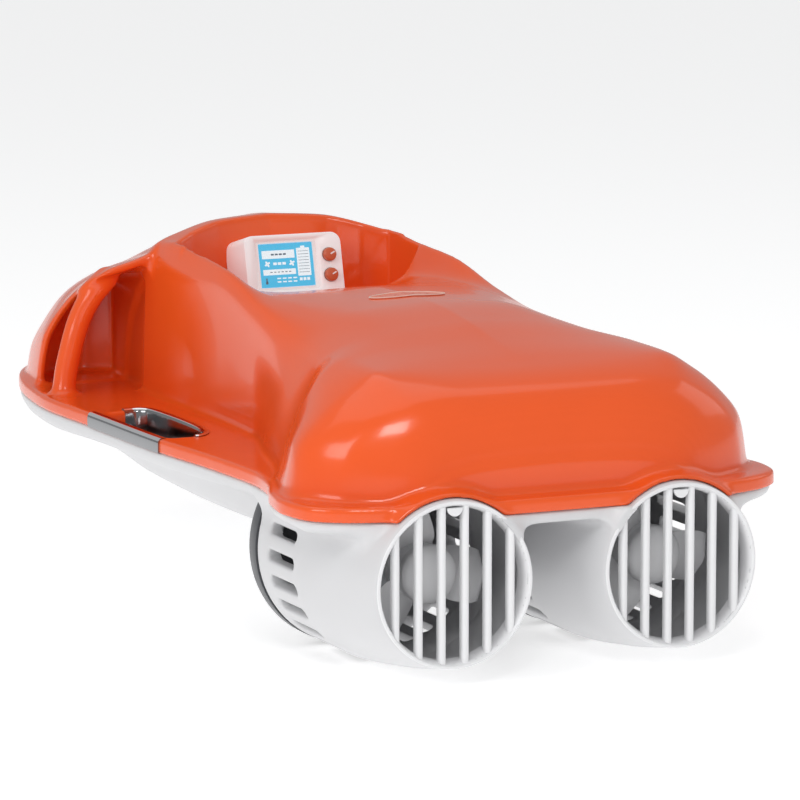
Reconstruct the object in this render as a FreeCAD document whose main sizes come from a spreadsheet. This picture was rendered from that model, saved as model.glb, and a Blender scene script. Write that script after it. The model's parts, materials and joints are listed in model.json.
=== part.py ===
import FreeCAD, Part
import math
import os
import Sketcher

# Underwater scooter: a twin-jet board that tows its rider.
# Frame: +X to the rider's right, +Y towards the nose, +Z up, millimetres.
# The origin is on the floor, under the middle of the board's length and breadth.

V = FreeCAD.Vector
Y_AXIS = V(0, 1, 0)
SIDES = {"left": -1, "right": 1}

doc = FreeCAD.newDocument("underwater_scooter")
sheet = doc.addObject("Spreadsheet::Sheet", "sizes")

DIMENSIONS = {
    # shells
    "nose_reach": 508, "tail_reach": 486, "rim_bottom": 158, "deck_top": 172,
    "shell_wall": 5, "hull_wall": 4, "rim_ledge": 16, "deck_skin": 5,
    # nacelles
    "nacelle_half_spacing": 116, "nacelle_height": 98, "nacelle_radius": 98,
    "nacelle_wall": 4, "outlet_radius": 78, "outlet_station": -508,
    "ring_lip": 0.5, "ring_width": 12, "cap_rise": 10,
    "shoulder_station": -360, "nose_station": -270, "nose_length": 18,
    "slot_centre": -329, "slot_length": 62, "slot_height": 11, "slot_pitch": 15,
    # grille
    "grille_radius": 73, "grille_ring": 4, "grille_depth": 20,
    "bar_width": 7, "bar_pitch": 23.2, "bar_depth": 9, "tab_radius": 7,
    # drive
    "motor_radius": 42, "motor_length": 96, "motor_wall": 4,
    "stator_radius": 36, "stator_bore": 22.5, "rotor_radius": 21.5,
    "shaft_radius": 5, "shaft_fit": 0.05, "bearing_radius": 13, "bearing_width": 8,
    "blade_tip": 68, "blade_width": 54, "blade_thickness": 4, "blade_pitch": 28,
    "hub_radius": 24, "hub_length": 34, "hub_station": 66, "spinner_radius": 28,
    # controls
    "grip_radius": 12, "trigger_length": 62, "trigger_width": 11,
    "trigger_depth": 10, "trigger_proud": 2, "trigger_gap": 0.35, "trigger_travel": 8.5,
    "pin_radius": 1.5, "pin_inset": 5,
    "carry_wall": 3, "carry_bottom": 128, "trim_thickness": 1.5, "fit_gap": 0.3,
    # oval plate
    "oval_station": -144, "oval_breadth": 80, "oval_length": 28, "oval_thickness": 2,
    # display
    "display_width": 109, "display_height": 74, "display_depth": 38,
    "display_lean": 14, "display_wall": 3, "display_station": 134,
    "display_base": 264, "display_corner": 10,
    "screen_width": 59.5, "screen_height": 44.5, "screen_offset": -5,
    "screen_middle": 43.5, "knob_radius": 7, "knob_offset": 42,
    "knob_middle": 41, "knob_spacing": 21, "spindle_radius": 3,
    # battery
    "battery_width": 244, "battery_length": 250, "battery_height": 62,
    "battery_wall": 3, "battery_station": -305, "battery_base": 204,
    "cell_radius": 10.5, "cell_length": 70,
    # controllers
    "controller_width": 70, "controller_length": 110, "controller_height": 28,
}
for row, (alias, value) in enumerate(DIMENSIONS.items(), start=1):
    sheet.set(f"A{row}", alias)
    sheet.set(f"B{row}", str(value))
    sheet.setAlias(f"B{row}", alias)
doc.recompute()

parts = []


def size(alias):
    """A driving dimension, read from the sheet."""
    return float(getattr(sheet, alias))


def ex(text):
    """An expression in which every alias names its cell of the sheet."""
    for alias in sorted(DIMENSIONS, key=len, reverse=True):
        text = text.replace("{" + alias + "}", "sizes." + alias)
    return text


def keep(obj, label):
    """Name a finished sub-part; its label names its file."""
    obj.Label = label
    parts.append(obj)
    return obj


def feature(label, shape, at=V(0, 0, 0), turn=None):
    """A free-form sub-part whose shape is made by Part's own functions."""
    obj = doc.addObject("Part::Feature", label)
    obj.Shape = shape
    obj.Placement = FreeCAD.Placement(at, turn or FreeCAD.Rotation())
    return keep(obj, label)


def body_at(label, x="0", y="0", z="0", turn=None):
    """A PartDesign body whose place is bound to the sheet."""
    body = doc.addObject("PartDesign::Body", label)
    if turn:
        body.Placement = FreeCAD.Placement(V(0, 0, 0), turn)
    for axis, text in zip("xyz", (x, y, z)):
        body.setExpression(f"Placement.Base.{axis}", ex(text))
    return body


def sketch_on(body, role, name):
    """A sketch on one of the body's own origin planes."""
    plane = next(f for f in body.Origin.OriginFeatures if f.Role == role)
    sketch = body.newObject("Sketcher::SketchObject", name)
    sketch.AttachmentSupport = [(plane, "")]
    sketch.MapMode = "FlatFace"
    return sketch


def bound_polygon(sketch, corners):
    """A closed outline whose corners' coordinates are expressions."""
    corners = [(ex(u), ex(v)) for u, v in corners]
    points = [V(float(sketch.evalExpression(u)), float(sketch.evalExpression(v)), 0)
              for u, v in corners]
    first = sketch.GeometryCount
    count = len(points)
    for i, point in enumerate(points):
        sketch.addGeometry(Part.LineSegment(point, points[(i + 1) % count]), False)
    for i in range(count):
        following = first + (i + 1) % count
        sketch.addConstraint(Sketcher.Constraint("Coincident", first + i, 2, following, 1))
    for i, (point, texts) in enumerate(zip(points, corners)):
        for kind, value, text in zip(("DistanceX", "DistanceY"), point, texts):
            index = sketch.addConstraint(
                Sketcher.Constraint(kind, -1, 1, first + i, 1, value))
            sketch.setExpression(f"Constraints[{index}]", text)


def turned(label, profile, x="0", z="0", y="0"):
    """A body of revolution about a line along Y; profile is (radius, station)."""
    body = body_at(label, x, y, z)
    sketch = sketch_on(body, "XY_Plane", label + "_profile")
    bound_polygon(sketch, profile)
    turn = body.newObject("PartDesign::Revolution", label + "_turn")
    turn.Profile = sketch
    turn.ReferenceAxis = (sketch, ["V_Axis"])
    turn.Angle = 360
    doc.recompute()
    return keep(body, label)


def padded(body, sketch, length, name, midplane=False, reverse=False):
    """A pad whose length is an expression."""
    pad = body.newObject("PartDesign::Pad", name)
    pad.Profile = sketch
    pad.Midplane = midplane
    pad.Reversed = reverse
    pad.setExpression("Length", ex(length))
    doc.recompute()
    return pad


def pocketed(body, sketch, length, name, midplane=False, reverse=False):
    """A pocket whose depth is an expression; it must take material away."""
    before = body.Shape.Volume
    pocket = body.newObject("PartDesign::Pocket", name)
    pocket.Profile = sketch
    pocket.Midplane = midplane
    pocket.Reversed = reverse
    pocket.setExpression("Length", ex(length))
    doc.recompute()
    if not body.Shape.Volume < before - 1:
        raise RuntimeError(f"{name} cut nothing")
    return pocket


def box(low, high):
    """A block between two corners."""
    return Part.makeBox(high[0] - low[0], high[1] - low[1], high[2] - low[2], V(*low))


def column(points, low, high):
    """A prism on a plan outline of (x, y), from one height to another."""
    loop = [V(x, y, low) for x, y in points]
    return Part.Face(Part.makePolygon(loop + loop[:1])).extrude(V(0, 0, high - low))


# ---------------------------------------------------------------- lines plan

# Half of the rim's plan outline, nose to tail: (half breadth, station).
RIM_HALF = [(0, 508), (60, 503), (112, 490), (162, 463), (206, 402), (232, 310),
            (242, 215), (237, 110), (231, -55), (220, -165), (215, -262),
            (222, -318), (240, -372), (244, -408), (228, -441), (190, -466),
            (140, -482), (70, -486)]
RIM_TAIL = (0, -486)

# Half sections of the cowl, tail to display: station, then (half breadth, height)
# from the middle line over the shoulder down the side wall.
COWL = [
    (-481, [(0, 226), (70, 224), (105, 219), (122, 211), (133, 199), (138, 188), (140, 176)]),
    (-472, [(0, 257), (78, 255), (118, 248), (143, 233), (158, 213), (165, 195), (168, 176)]),
    (-448, [(0, 276), (92, 276), (136, 270), (163, 257), (187, 237), (202, 212), (209, 176)]),
    (-403, [(0, 288), (98, 289), (145, 284), (174, 269), (203, 246), (224, 218), (234, 176)]),
    (-337, [(0, 299), (95, 296), (150, 288), (178, 277), (202, 250), (214, 220), (222, 176)]),
    (-280, [(0, 307), (90, 302), (135, 293), (161, 283), (181, 255), (195, 220), (205, 176)]),
    (-193, [(0, 312), (80, 308), (118, 299), (141, 287), (154, 260), (163, 222), (173, 176)]),
    (-78, [(0, 311), (68, 308), (108, 305), (129, 303), (136, 280), (137, 230), (138, 176)]),
    (19, [(0, 297), (60, 297), (102, 303), (124, 323), (132, 300), (134, 235), (135, 176)]),
    (92, [(0, 282), (60, 283), (98, 294), (121, 324), (131, 300), (134, 235), (136, 176)]),
    (150, [(0, 273), (60, 274), (96, 286), (121, 324), (131, 298), (135, 235), (137, 176)]),
    (225, [(0, 262), (60, 263), (96, 272), (118, 296), (128, 278), (134, 232), (136, 176)]),
]

# Half sections of the front dome, hood to nose, in the same form.
DOME = [
    (140, [(0, 351), (60, 348), (120, 332), (150, 316), (178, 308), (207, 284),
           (225, 235), (231, 176)]),
    (205, [(0, 352), (60, 348), (115, 329), (150, 311), (178, 303), (206, 281),
           (225, 235), (231, 176)]),
    (245, [(0, 348), (50, 341), (100, 317), (150, 302), (178, 293), (203, 273),
           (222, 232), (229, 176)]),
    (292, [(0, 338), (50, 328), (100, 306), (150, 292), (178, 278), (202, 254),
           (219, 220), (225, 176)]),
    (352, [(0, 323), (50, 312), (100, 292), (148, 275), (174, 259), (195, 233),
           (209, 206), (215, 176)]),
    (402, [(0, 303), (48, 294), (96, 276), (137, 256), (161, 238), (180, 217),
           (191, 198), (197, 176)]),
    (448, [(0, 272), (44, 265), (86, 249), (117, 231), (138, 213), (153, 198),
           (162, 187), (167, 176)]),
    (480, [(0, 233), (34, 229), (64, 220), (84, 210), (98, 200), (108, 191),
           (114, 184), (118, 176)]),
    (495, [(0, 200), (22, 198), (40, 194), (52, 190), (61, 186), (67, 182),
           (71, 179), (74, 176)]),
]

# Half sections of the hull below the rim, tail to nose, keel to rim edge.
HULL = [
    (-481, [(0, 145), (80, 145), (132, 147), (141, 151), (143, 158)]),
    (-440, [(0, 144), (120, 144), (210, 146), (223, 150), (226, 158)]),
    (-380, [(0, 143), (120, 143), (223, 145), (236, 150), (239, 158)]),
    (-300, [(0, 138), (120, 140), (201, 144), (213, 149), (216, 158)]),
    (-245, [(0, 98), (150, 108), (196, 141), (210, 148), (213, 158)]),
    (-190, [(0, 88), (168, 104), (196, 140), (213, 147), (216, 158)]),
    (-60, [(0, 87), (171, 103), (205, 138), (225, 145), (229, 158)]),
    (110, [(0, 89), (164, 104), (208, 137), (231, 144), (235, 158)]),
    (215, [(0, 104), (150, 117), (210, 134), (235, 142), (240, 158)]),
    (310, [(0, 114), (140, 121), (198, 131), (224, 141), (230, 158)]),
    (402, [(0, 122), (118, 127), (174, 134), (197, 142), (204, 158)]),
    (463, [(0, 133), (84, 135), (132, 140), (152, 146), (160, 158)]),
    (495, [(0, 142), (38, 143), (66, 146), (80, 150), (88, 158)]),
]


def mirrored(half):
    """A half line of points, from the middle out, made whole across it."""
    return [(-x, z) for x, z in reversed(half[1:])] + half


def shifted(points, distance, closed=False):
    """Points moved to the right of their line of travel by a distance."""
    moved = []
    last = len(points) - 1
    for i, (u, v) in enumerate(points):
        before = points[i - 1] if closed or i > 0 else points[0]
        after = points[(i + 1) % len(points)] if closed or i < last else points[last]
        run = math.hypot(after[0] - before[0], after[1] - before[1])
        moved.append((u + distance * (after[1] - before[1]) / run,
                      v - distance * (after[0] - before[0]) / run))
    return moved


def rim_points(inset):
    """The rim's whole plan outline, moved inward."""
    outline = RIM_HALF + [RIM_TAIL] + [(-x, y) for x, y in reversed(RIM_HALF[1:])]
    return shifted(outline, inset, closed=True)


def rim_curve(inset, height):
    """A smooth closed curve through the rim's outline."""
    curve = Part.BSplineCurve()
    points = [V(x, y, height) for x, y in rim_points(inset)]
    curve.interpolate(Points=points, PeriodicFlag=True)
    return curve


def rim_slab(inset, low, high):
    """The rim's outline, moved inward, as a slab."""
    wire = Part.Wire([rim_curve(inset, low).toShape()])
    return Part.Face(wire).extrude(V(0, 0, high - low))


def section(station, points, close_at):
    """A closed cross-section: a spline over the points, shut by a flat line."""
    ends = [V(points[-1][0], station, close_at), V(points[0][0], station, close_at)]
    curve = Part.BSplineCurve()
    curve.interpolate([V(x, station, z) for x, z in points])
    first, last = curve.StartPoint, curve.EndPoint
    edges = [curve.toShape()]
    loop = [last, ends[0], ends[1], first]
    for a, b in zip(loop, loop[1:]):
        if a.distanceToPoint(b) > 0.01:
            edges.append(Part.LineSegment(a, b).toShape())
    return Part.Wire(edges)


def skin(sections, inset, close_at, ends=(0, 0), ruled=False):
    """A loft over the sections, moved inward, its end sections shifted along Y."""
    wires = []
    last = len(sections) - 1
    for i, (station, half) in enumerate(sections):
        if i == 0:
            station += ends[0]
        if i == last:
            station += ends[1]
        points = shifted(mirrored(half), inset)
        wires.append(section(station, points, close_at))
    return Part.makeLoft(wires, True, ruled)


# ------------------------------------------------------------ outside volumes

deck_top = size("deck_top")
rim_bottom = size("rim_bottom")
wall = size("shell_wall")
spacing = size("nacelle_half_spacing")
axis_height = size("nacelle_height")

# Nacelle outlines: (station, outside radius), outlet to nose.
NACELLE_LINE = [("{outlet_station}", "{outlet_radius}"),
                ("{outlet_station}+30", "{outlet_radius}+6"),
                ("{outlet_station}+75", "{outlet_radius}+13"),
                ("{shoulder_station}", "{nacelle_radius}"),
                ("{nose_station}", "{nacelle_radius}")]


def nacelle_envelope(side, gap):
    """The outside of a nacelle with its nose ring and cap, as one plain solid grown by a gap."""
    line = [(float(sheet.evalExpression(ex(s))), float(sheet.evalExpression(ex(r))))
            for s, r in NACELLE_LINE]
    nose, radius = line.pop()
    tip = nose + size("nose_length") + size("cap_rise")
    ring = radius + size("ring_lip")
    line += [(nose - gap, radius), (nose - gap, ring), (tip + gap, ring)]
    corners = [V(0, line[0][0], 0)] + [V(r + gap, s, 0) for s, r in line]
    corners += [V(0, line[-1][0], 0)]
    face = Part.Face(Part.makePolygon(corners + corners[:1]))
    solid = face.revolve(V(0, 0, 0), Y_AXIS, 360)
    solid.translate(V(side * spacing, 0, axis_height))
    return solid


# The arch that a hand passes under, seen from the side: (station, height).
ARCH = [(100, 165), (299, 165), (297, 190), (291, 220), (278, 247), (250, 278),
        (220, 303), (186, 314), (150, 322), (100, 420)]
# Plan of a hand cavity: the side wall of the cowl, the front wall, the dome.
CAVITY = [(138, 60), (138, 152), (121, 345), (150, 358), (250, 358), (250, 60)]
HOOD_EDGE = [(-119, 166), (0, 204), (119, 166)]


def hood_recess(forward):
    """The space behind the hood's edge, above the cowl."""
    arc = Part.Arc(*[V(x, y + forward, 180) for x, y in HOOD_EDGE]).toShape()
    left, right = arc.Vertexes[0].Point, arc.Vertexes[-1].Point
    back = [V(right.x, 100, 180), V(left.x, 100, 180)]
    edges = [arc]
    for a, b in zip([right] + back, back + [left]):
        edges.append(Part.LineSegment(a, b).toShape())
    return Part.Face(Part.Wire(edges)).extrude(V(0, 0, 240))


def arch_cut(side):
    """What is cut off the dome behind the arch, on one side."""
    loop = [V(0, y, z) for y, z in ARCH]
    prism = Part.Face(Part.makePolygon(loop + loop[:1])).extrude(V(140, 0, 0))
    prism.translate(V(128 if side > 0 else -268, 0, 0))
    return prism


def cavity(side, grow, floor):
    """The plan of one hand cavity as a prism, its inboard walls moved inward."""
    points = [(x - grow, y) for x, y in CAVITY[:3]]
    points[2] = (points[2][0], points[2][1] + grow)
    points += [(x, y + grow) for x, y in CAVITY[3:5]] + [CAVITY[5]]
    return column([(side * x, y) for x, y in points], floor, 345)


print("shells", flush=True)
slab = rim_slab(0, rim_bottom, deck_top)
edge_rounding = 4
slab = slab.makeFillet(edge_rounding, [e for e in slab.Edges
                                       if e.BoundBox.ZMin > deck_top - 0.1])
cowl = skin(COWL, 0, deck_top - 8)
cowl_inside = skin(COWL, wall, rim_bottom - 8, ends=(wall, 12))
dome = skin(DOME, 0, deck_top - 8)
dome_inside = skin(DOME, wall, rim_bottom - 8, ends=(-6, -wall))

front = dome.cut([hood_recess(0), arch_cut(-1), arch_cut(1)])
outside = slab.fuse([cowl, front])

# Openings through the wing decks: plan of the carry slot, right side.
SLOT_PLAN = [(186, -58), (215, -58), (222, -46), (225, 92), (217, 106), (184, 112),
             (172, 98), (170, -36)]


def carry_column(side, grow, low, high):
    """A prism on the carry slot's outline, grown by a distance."""
    points = [(side * x, y) for x, y in shifted(SLOT_PLAN, grow, closed=True)]
    return column(points, low, high)


def grip_line(side):
    """The middle line of a grip bar: deck foot, belly, top on the arch."""
    return [V(side * x, y, z) for x, y, z in
            ((219, 237, 160), (203, 238, 232), (166, 212, 308))]


def grip_solid(side, radius):
    """A bar of round section along the arc of its middle line."""
    arc = Part.Arc(*grip_line(side))
    path = Part.Wire([arc.toShape()])
    ring = Part.Circle(arc.value(arc.FirstParameter), arc.tangent(arc.FirstParameter)[0], radius)
    return path.makePipeShell([Part.Wire([ring.toShape()])], True, False)


# Display: its own frame stands on the deck and leans towards the nose.
lean = FreeCAD.Rotation(V(1, 0, 0), -size("display_lean"))
display_foot = V(0, size("display_station"), size("display_base"))


def display_block(grow):
    """The display's outside as a plain block, grown by a gap."""
    half = size("display_width") / 2 + grow
    block = box((-half, -grow, -40), (half, size("display_depth") + grow,
                                      size("display_height") + grow))
    block.Placement = FreeCAD.Placement(display_foot, lean)
    return block


# Shell screws stand in the rim ledge; they are driven from below.
SCREW_PLACES = [(0, 496), (103, 481), (194, 394), (221, 298), (229, 215),
                (219, -85), (206, -190), (206, -285), (229, -405), (0, -476)]
screw_places = SCREW_PLACES + [(-x, y) for x, y in SCREW_PLACES if x]
SCREW = {"shank": 2, "head": 3.6, "head_height": 3, "tip": 167, "seat": 154}


def screw(place, gap):
    """A pan-head screw standing upward, grown by a gap."""
    at = V(place[0], place[1], SCREW["seat"])
    shank = Part.makeCylinder(SCREW["shank"] + gap, SCREW["tip"] + gap - SCREW["seat"], at)
    drop = V(0, 0, SCREW["head_height"])
    head_room = 16 if gap else 0
    head = Part.makeCylinder(SCREW["head"] + gap, SCREW["head_height"] + head_room,
                             at - drop - V(0, 0, head_room))
    return head.fuse(shank).removeSplitter()


print("top shell", flush=True)
fit_gap = size("fit_gap")
inside = rim_slab(size("rim_ledge"), rim_bottom - 1, deck_top - size("deck_skin"))
rooms = [cavity(side, 0, deck_top) for side in (-1, 1)]
thick_rooms = [cavity(side, 4, rim_bottom - 10) for side in (-1, 1)]
front_inside = dome_inside.cut([hood_recess(wall)] + thick_rooms)
hand_rooms = [dome_inside.common(room) for room in rooms]
front_skin = front.cut(hand_rooms)
envelopes = [nacelle_envelope(side, fit_gap) for side in (-1, 1)]



def oval_prism(grow):
    """A tall prism on the oval plate's outline, grown by a gap."""
    oval = Part.Ellipse(V(0, size("oval_station"), 0), size("oval_breadth") / 2 + grow,
                        size("oval_length") / 2 + grow)
    return Part.Face(Part.Wire([oval.toShape()])).extrude(V(0, 0, 400))


lowered = cowl.copy()
lowered.translate(V(0, 0, -size("oval_thickness")))
oval_plate = oval_prism(0).common(cowl).cut(lowered)
oval_pocket = oval_prism(fit_gap).cut(lowered)

cuts = [inside, cowl_inside, front_inside] + hand_rooms + envelopes
cuts += [carry_column(side, size("carry_wall") + fit_gap, 100, 220) for side in (-1, 1)]
cuts += [grip_solid(side, size("grip_radius") + fit_gap) for side in (-1, 1)]
cuts += [display_block(fit_gap), oval_pocket]
top_shell = outside.cut(cuts)
top_shell = top_shell.cut([screw(place, fit_gap) for place in screw_places])
feature("top_shell", top_shell)
feature("oval_plate", oval_plate)

print("bottom hull", flush=True)
hull_wall = size("hull_wall")
hull_outside = skin(HULL, 0, rim_bottom, ruled=True)
hull_inside = skin(HULL, -hull_wall, rim_bottom + 6, (hull_wall, -hull_wall), ruled=True)
ledge = rim_slab(3, rim_bottom - 4, rim_bottom)
ledge = ledge.cut(rim_slab(size("rim_ledge"), rim_bottom - 5, rim_bottom + 1))
seal_groove = rim_slab(4, rim_bottom - 2, rim_bottom + 1).cut(
    rim_slab(7, rim_bottom - 3, rim_bottom + 2))
hull = hull_outside.cut(hull_inside).fuse(ledge)
hull_cuts = envelopes + [seal_groove]
hull_cuts += [carry_column(side, size("carry_wall") + fit_gap, 100, 220) for side in (-1, 1)]
hull = hull.cut(hull_cuts).cut([screw(place, fit_gap) for place in screw_places])
feature("bottom_hull", hull)
seal = rim_slab(4.2, rim_bottom - 1.9, rim_bottom - 0.1).cut(
    rim_slab(6.8, rim_bottom - 3, rim_bottom + 2))
seal = seal.cut([nacelle_envelope(side, fit_gap) for side in (-1, 1)])
feature("perimeter_seal", seal)
feature("shell_screws", Part.makeCompound([screw(place, 0) for place in screw_places]))

print("nacelles and drives", flush=True)


def nacelle(name, side):
    """A white tube with a ring of intake slots near its nose."""
    place = {"x": f"{side}*{{nacelle_half_spacing}}", "z": "{nacelle_height}"}
    outer = [(r, s) for s, r in NACELLE_LINE]
    inner = [(f"{r}-{{nacelle_wall}}", s) for s, r in reversed(NACELLE_LINE)]
    body = turned(name + "_nacelle", outer + inner, **place)
    first_up = size("slot_pitch")
    body.Placement.Rotation = FreeCAD.Rotation(Y_AXIS, -side * first_up)
    slot = sketch_on(body, "YZ_Plane", name + "_slot")
    half_high = "{slot_height}/2"
    low, high = "{slot_centre}-{slot_length}/2", "{slot_centre}+{slot_length}/2"
    bound_polygon(slot, [(f"{low}+3", f"-{half_high}"), (f"{high}-3", f"-{half_high}"),
                         (high, f"-{half_high}+3"), (high, f"{half_high}-3"),
                         (f"{high}-3", half_high), (f"{low}+3", half_high),
                         (low, f"{half_high}-3"), (low, f"-{half_high}+3")])
    pocket = pocketed(body, slot, "{nacelle_radius}+10", name + "_slot_cut",
                      reverse=side > 0)
    ring = body.newObject("PartDesign::PolarPattern", name + "_slots")
    ring.Originals = [pocket]
    ring.Axis = (next(f for f in body.Origin.OriginFeatures if f.Role == "Y_Axis"), [""])
    ring.Angle = 180 + 2 * first_up
    ring.Reversed = side < 0
    ring.Occurrences = 15
    body.Tip = ring
    doc.recompute()
    return body


def drive(name, side):
    """Everything on one drive line, nose ring to outlet grille."""
    place = {"x": f"{side}*{{nacelle_half_spacing}}", "z": "{nacelle_height}"}
    nose = "{nose_station}"
    tip = f"{nose}+{{nose_length}}"
    turned(name + "_nose_ring",
           [("{nacelle_radius}-{ring_width}", f"{nose}+0.2"),
            ("{nacelle_radius}+{ring_lip}", f"{nose}+0.2"),
            ("{nacelle_radius}+{ring_lip}", f"{tip}-2"), ("{nacelle_radius}-1.5", tip),
            ("{nacelle_radius}-{ring_width}", tip)], **place)
    turned(name + "_nose_cap",
           [("0", f"{nose}-3"), ("{nacelle_radius}-{ring_width}-0.3", f"{nose}-3"),
            ("{nacelle_radius}-{ring_width}-0.3", f"{tip}-3"),
            ("{nacelle_radius}-40", f"{tip}+{{cap_rise}}-4"),
            ("0", f"{tip}+{{cap_rise}}")], **place)
    back = f"{nose}-3.2-{{motor_length}}"
    turned(name + "_motor_housing",
           [("{bearing_radius}+0.1", back), ("{motor_radius}-6", back),
            ("{motor_radius}", f"{back}+6"), ("{motor_radius}", f"{nose}-3.2"),
            ("{motor_radius}-{motor_wall}", f"{nose}-3.2"),
            ("{motor_radius}-{motor_wall}", f"{back}+18"),
            ("{bearing_radius}+0.1", f"{back}+18")], **place)
    turned(name + "_motor_stator",
           [("{stator_bore}", f"{back}+28"), ("{stator_radius}", f"{back}+28"),
            ("{stator_radius}", f"{nose}-18"), ("{stator_bore}", f"{nose}-18")], **place)
    turned(name + "_motor_rotor",
           [("{shaft_radius}", f"{back}+30"), ("{rotor_radius}", f"{back}+30"),
            ("{rotor_radius}", f"{nose}-20"), ("{shaft_radius}", f"{nose}-20")], **place)
    turned(name + "_shaft_bearing",
           [("{shaft_radius}+{shaft_fit}", f"{back}+9"), ("{bearing_radius}", f"{back}+9"),
            ("{bearing_radius}", f"{back}+9+{{bearing_width}}"),
            ("{shaft_radius}+{shaft_fit}", f"{back}+9+{{bearing_width}}")], **place)
    turned(name + "_shaft_seal",
           [("{shaft_radius}+{shaft_fit}", f"{back}+1"), ("{bearing_radius}", f"{back}+1"),
            ("{bearing_radius}", f"{back}+8"), ("{shaft_radius}+{shaft_fit}", f"{back}+8")],
           **place)
    aft = "{outlet_station}+{hub_station}+2"
    turned(name + "_prop_shaft",
           [("0", f"{aft}+2"), ("{shaft_radius}-0.05", f"{aft}+2"),
            ("{shaft_radius}-0.05", f"{nose}-14"), ("0", f"{nose}-14")], **place)
    propeller(name, side)
    back = "{outlet_station}+{hub_station}"
    dome = [(round(math.sin(math.radians(turn)), 3), round(math.cos(math.radians(turn)), 3))
            for turn in (0, 30, 60, 90)]
    turned(name + "_spinner",
           [(f"{{spinner_radius}}*{r}", f"{back}-{{spinner_radius}}*{s}") for r, s in dome]
           + [("0", back)], **place)


def propeller(name, side):
    """Three broad paddle blades around a bored hub."""
    face_gap, tip_rounding, first_blade = 0.2, 16, 10
    start = size("outlet_station") + size("hub_station") + face_gap
    hub_length = size("hub_length")
    hub = Part.makeCylinder(size("hub_radius"), hub_length, V(0, start, 0), Y_AXIS)
    blades = []
    width, tip = size("blade_width"), size("blade_tip")
    for turn in range(3):
        plate = box((10, -width / 2, 0), (tip + 10, width / 2, size("blade_thickness")))
        plate = plate.makeFillet(tip_rounding, [e for e in plate.Edges
                                                if abs(e.BoundBox.XMin - tip - 10) < 0.1
                                                and e.BoundBox.ZLength > 1])
        plate.rotate(V(0, 0, 0), V(1, 0, 0), side * size("blade_pitch") + 90)
        plate.rotate(V(0, 0, 0), Y_AXIS, first_blade + 120 * turn)
        plate.translate(V(0, start + hub_length / 2, 0))
        blades.append(plate)
    swept = Part.makeCylinder(tip, 70, V(0, start - 20, 0), Y_AXIS)
    whole = hub.fuse([blade.common(swept) for blade in blades])
    whole = whole.cut(Part.makeCylinder(size("shaft_radius"), 90, V(0, start - 30, 0), Y_AXIS))
    feature(name + "_propeller", whole, V(side * spacing, 0, axis_height))


def grille(name, side):
    """A thin ring with upright bars, set inside the outlet's rim."""
    radius, depth, bar_depth = size("grille_radius"), size("grille_depth"), size("bar_depth")
    mouth = size("outlet_station") + 0.5
    ring = Part.makeCylinder(radius, depth, V(0, mouth, 0), Y_AXIS).cut(
        Part.makeCylinder(radius - size("grille_ring"), depth, V(0, mouth, 0), Y_AXIS))
    disc = Part.makeCylinder(radius - 1, depth, V(0, mouth, 0), Y_AXIS)
    bars = []
    half = size("bar_width") / 2
    for step in range(6):
        x = (step - 2.5) * size("bar_pitch")
        bar = box((x - half, mouth, -radius), (x + half, mouth + bar_depth, radius))
        bars.append(bar.common(disc))
    tab = Part.makeCylinder(size("tab_radius"), bar_depth / 2,
                            V(0, mouth, radius - size("grille_ring")), Y_AXIS).common(disc)
    whole = ring.fuse(bars + [tab]).removeSplitter()
    feature(name + "_outlet_grille", whole, V(side * spacing, 0, axis_height))


def cap_screws(name, side):
    """Six screws through the nose ring into the nacelle's front wall."""
    tip = size("nose_station") + size("nose_length")
    ring = size("nacelle_radius") - size("ring_width") / 2
    head_radius, head_height = 3, 2.4
    screws = []
    for step in range(6):
        angle = math.radians(60 * step + 30)
        at = V(ring * math.cos(angle), tip + 0.1, ring * math.sin(angle))
        screws.append(Part.makeCylinder(head_radius, head_height, at, Y_AXIS))
    feature(name + "_nose_screws", Part.makeCompound(screws),
            V(side * spacing, 0, axis_height))


for name, side in SIDES.items():
    nacelle(name, side)
    drive(name, side)
    grille(name, side)
    cap_screws(name, side)

print("handles", flush=True)


def trigger_frame(side):
    """A matrix whose X crosses the bar, Y faces the nose and Z runs up the bar's middle."""
    arc = Part.Arc(*grip_line(side)).toShape()
    part_way = arc.FirstParameter + 0.52 * (arc.LastParameter - arc.FirstParameter)
    middle, along = arc.valueAt(part_way), arc.tangentAt(part_way)
    forward = Y_AXIS - along * along.y
    forward.normalize()
    across = along.cross(forward)
    return FreeCAD.Matrix(across.x, forward.x, along.x, middle.x,
                          across.y, forward.y, along.y, middle.y,
                          across.z, forward.z, along.z, middle.z, 0, 0, 0, 1)


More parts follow.
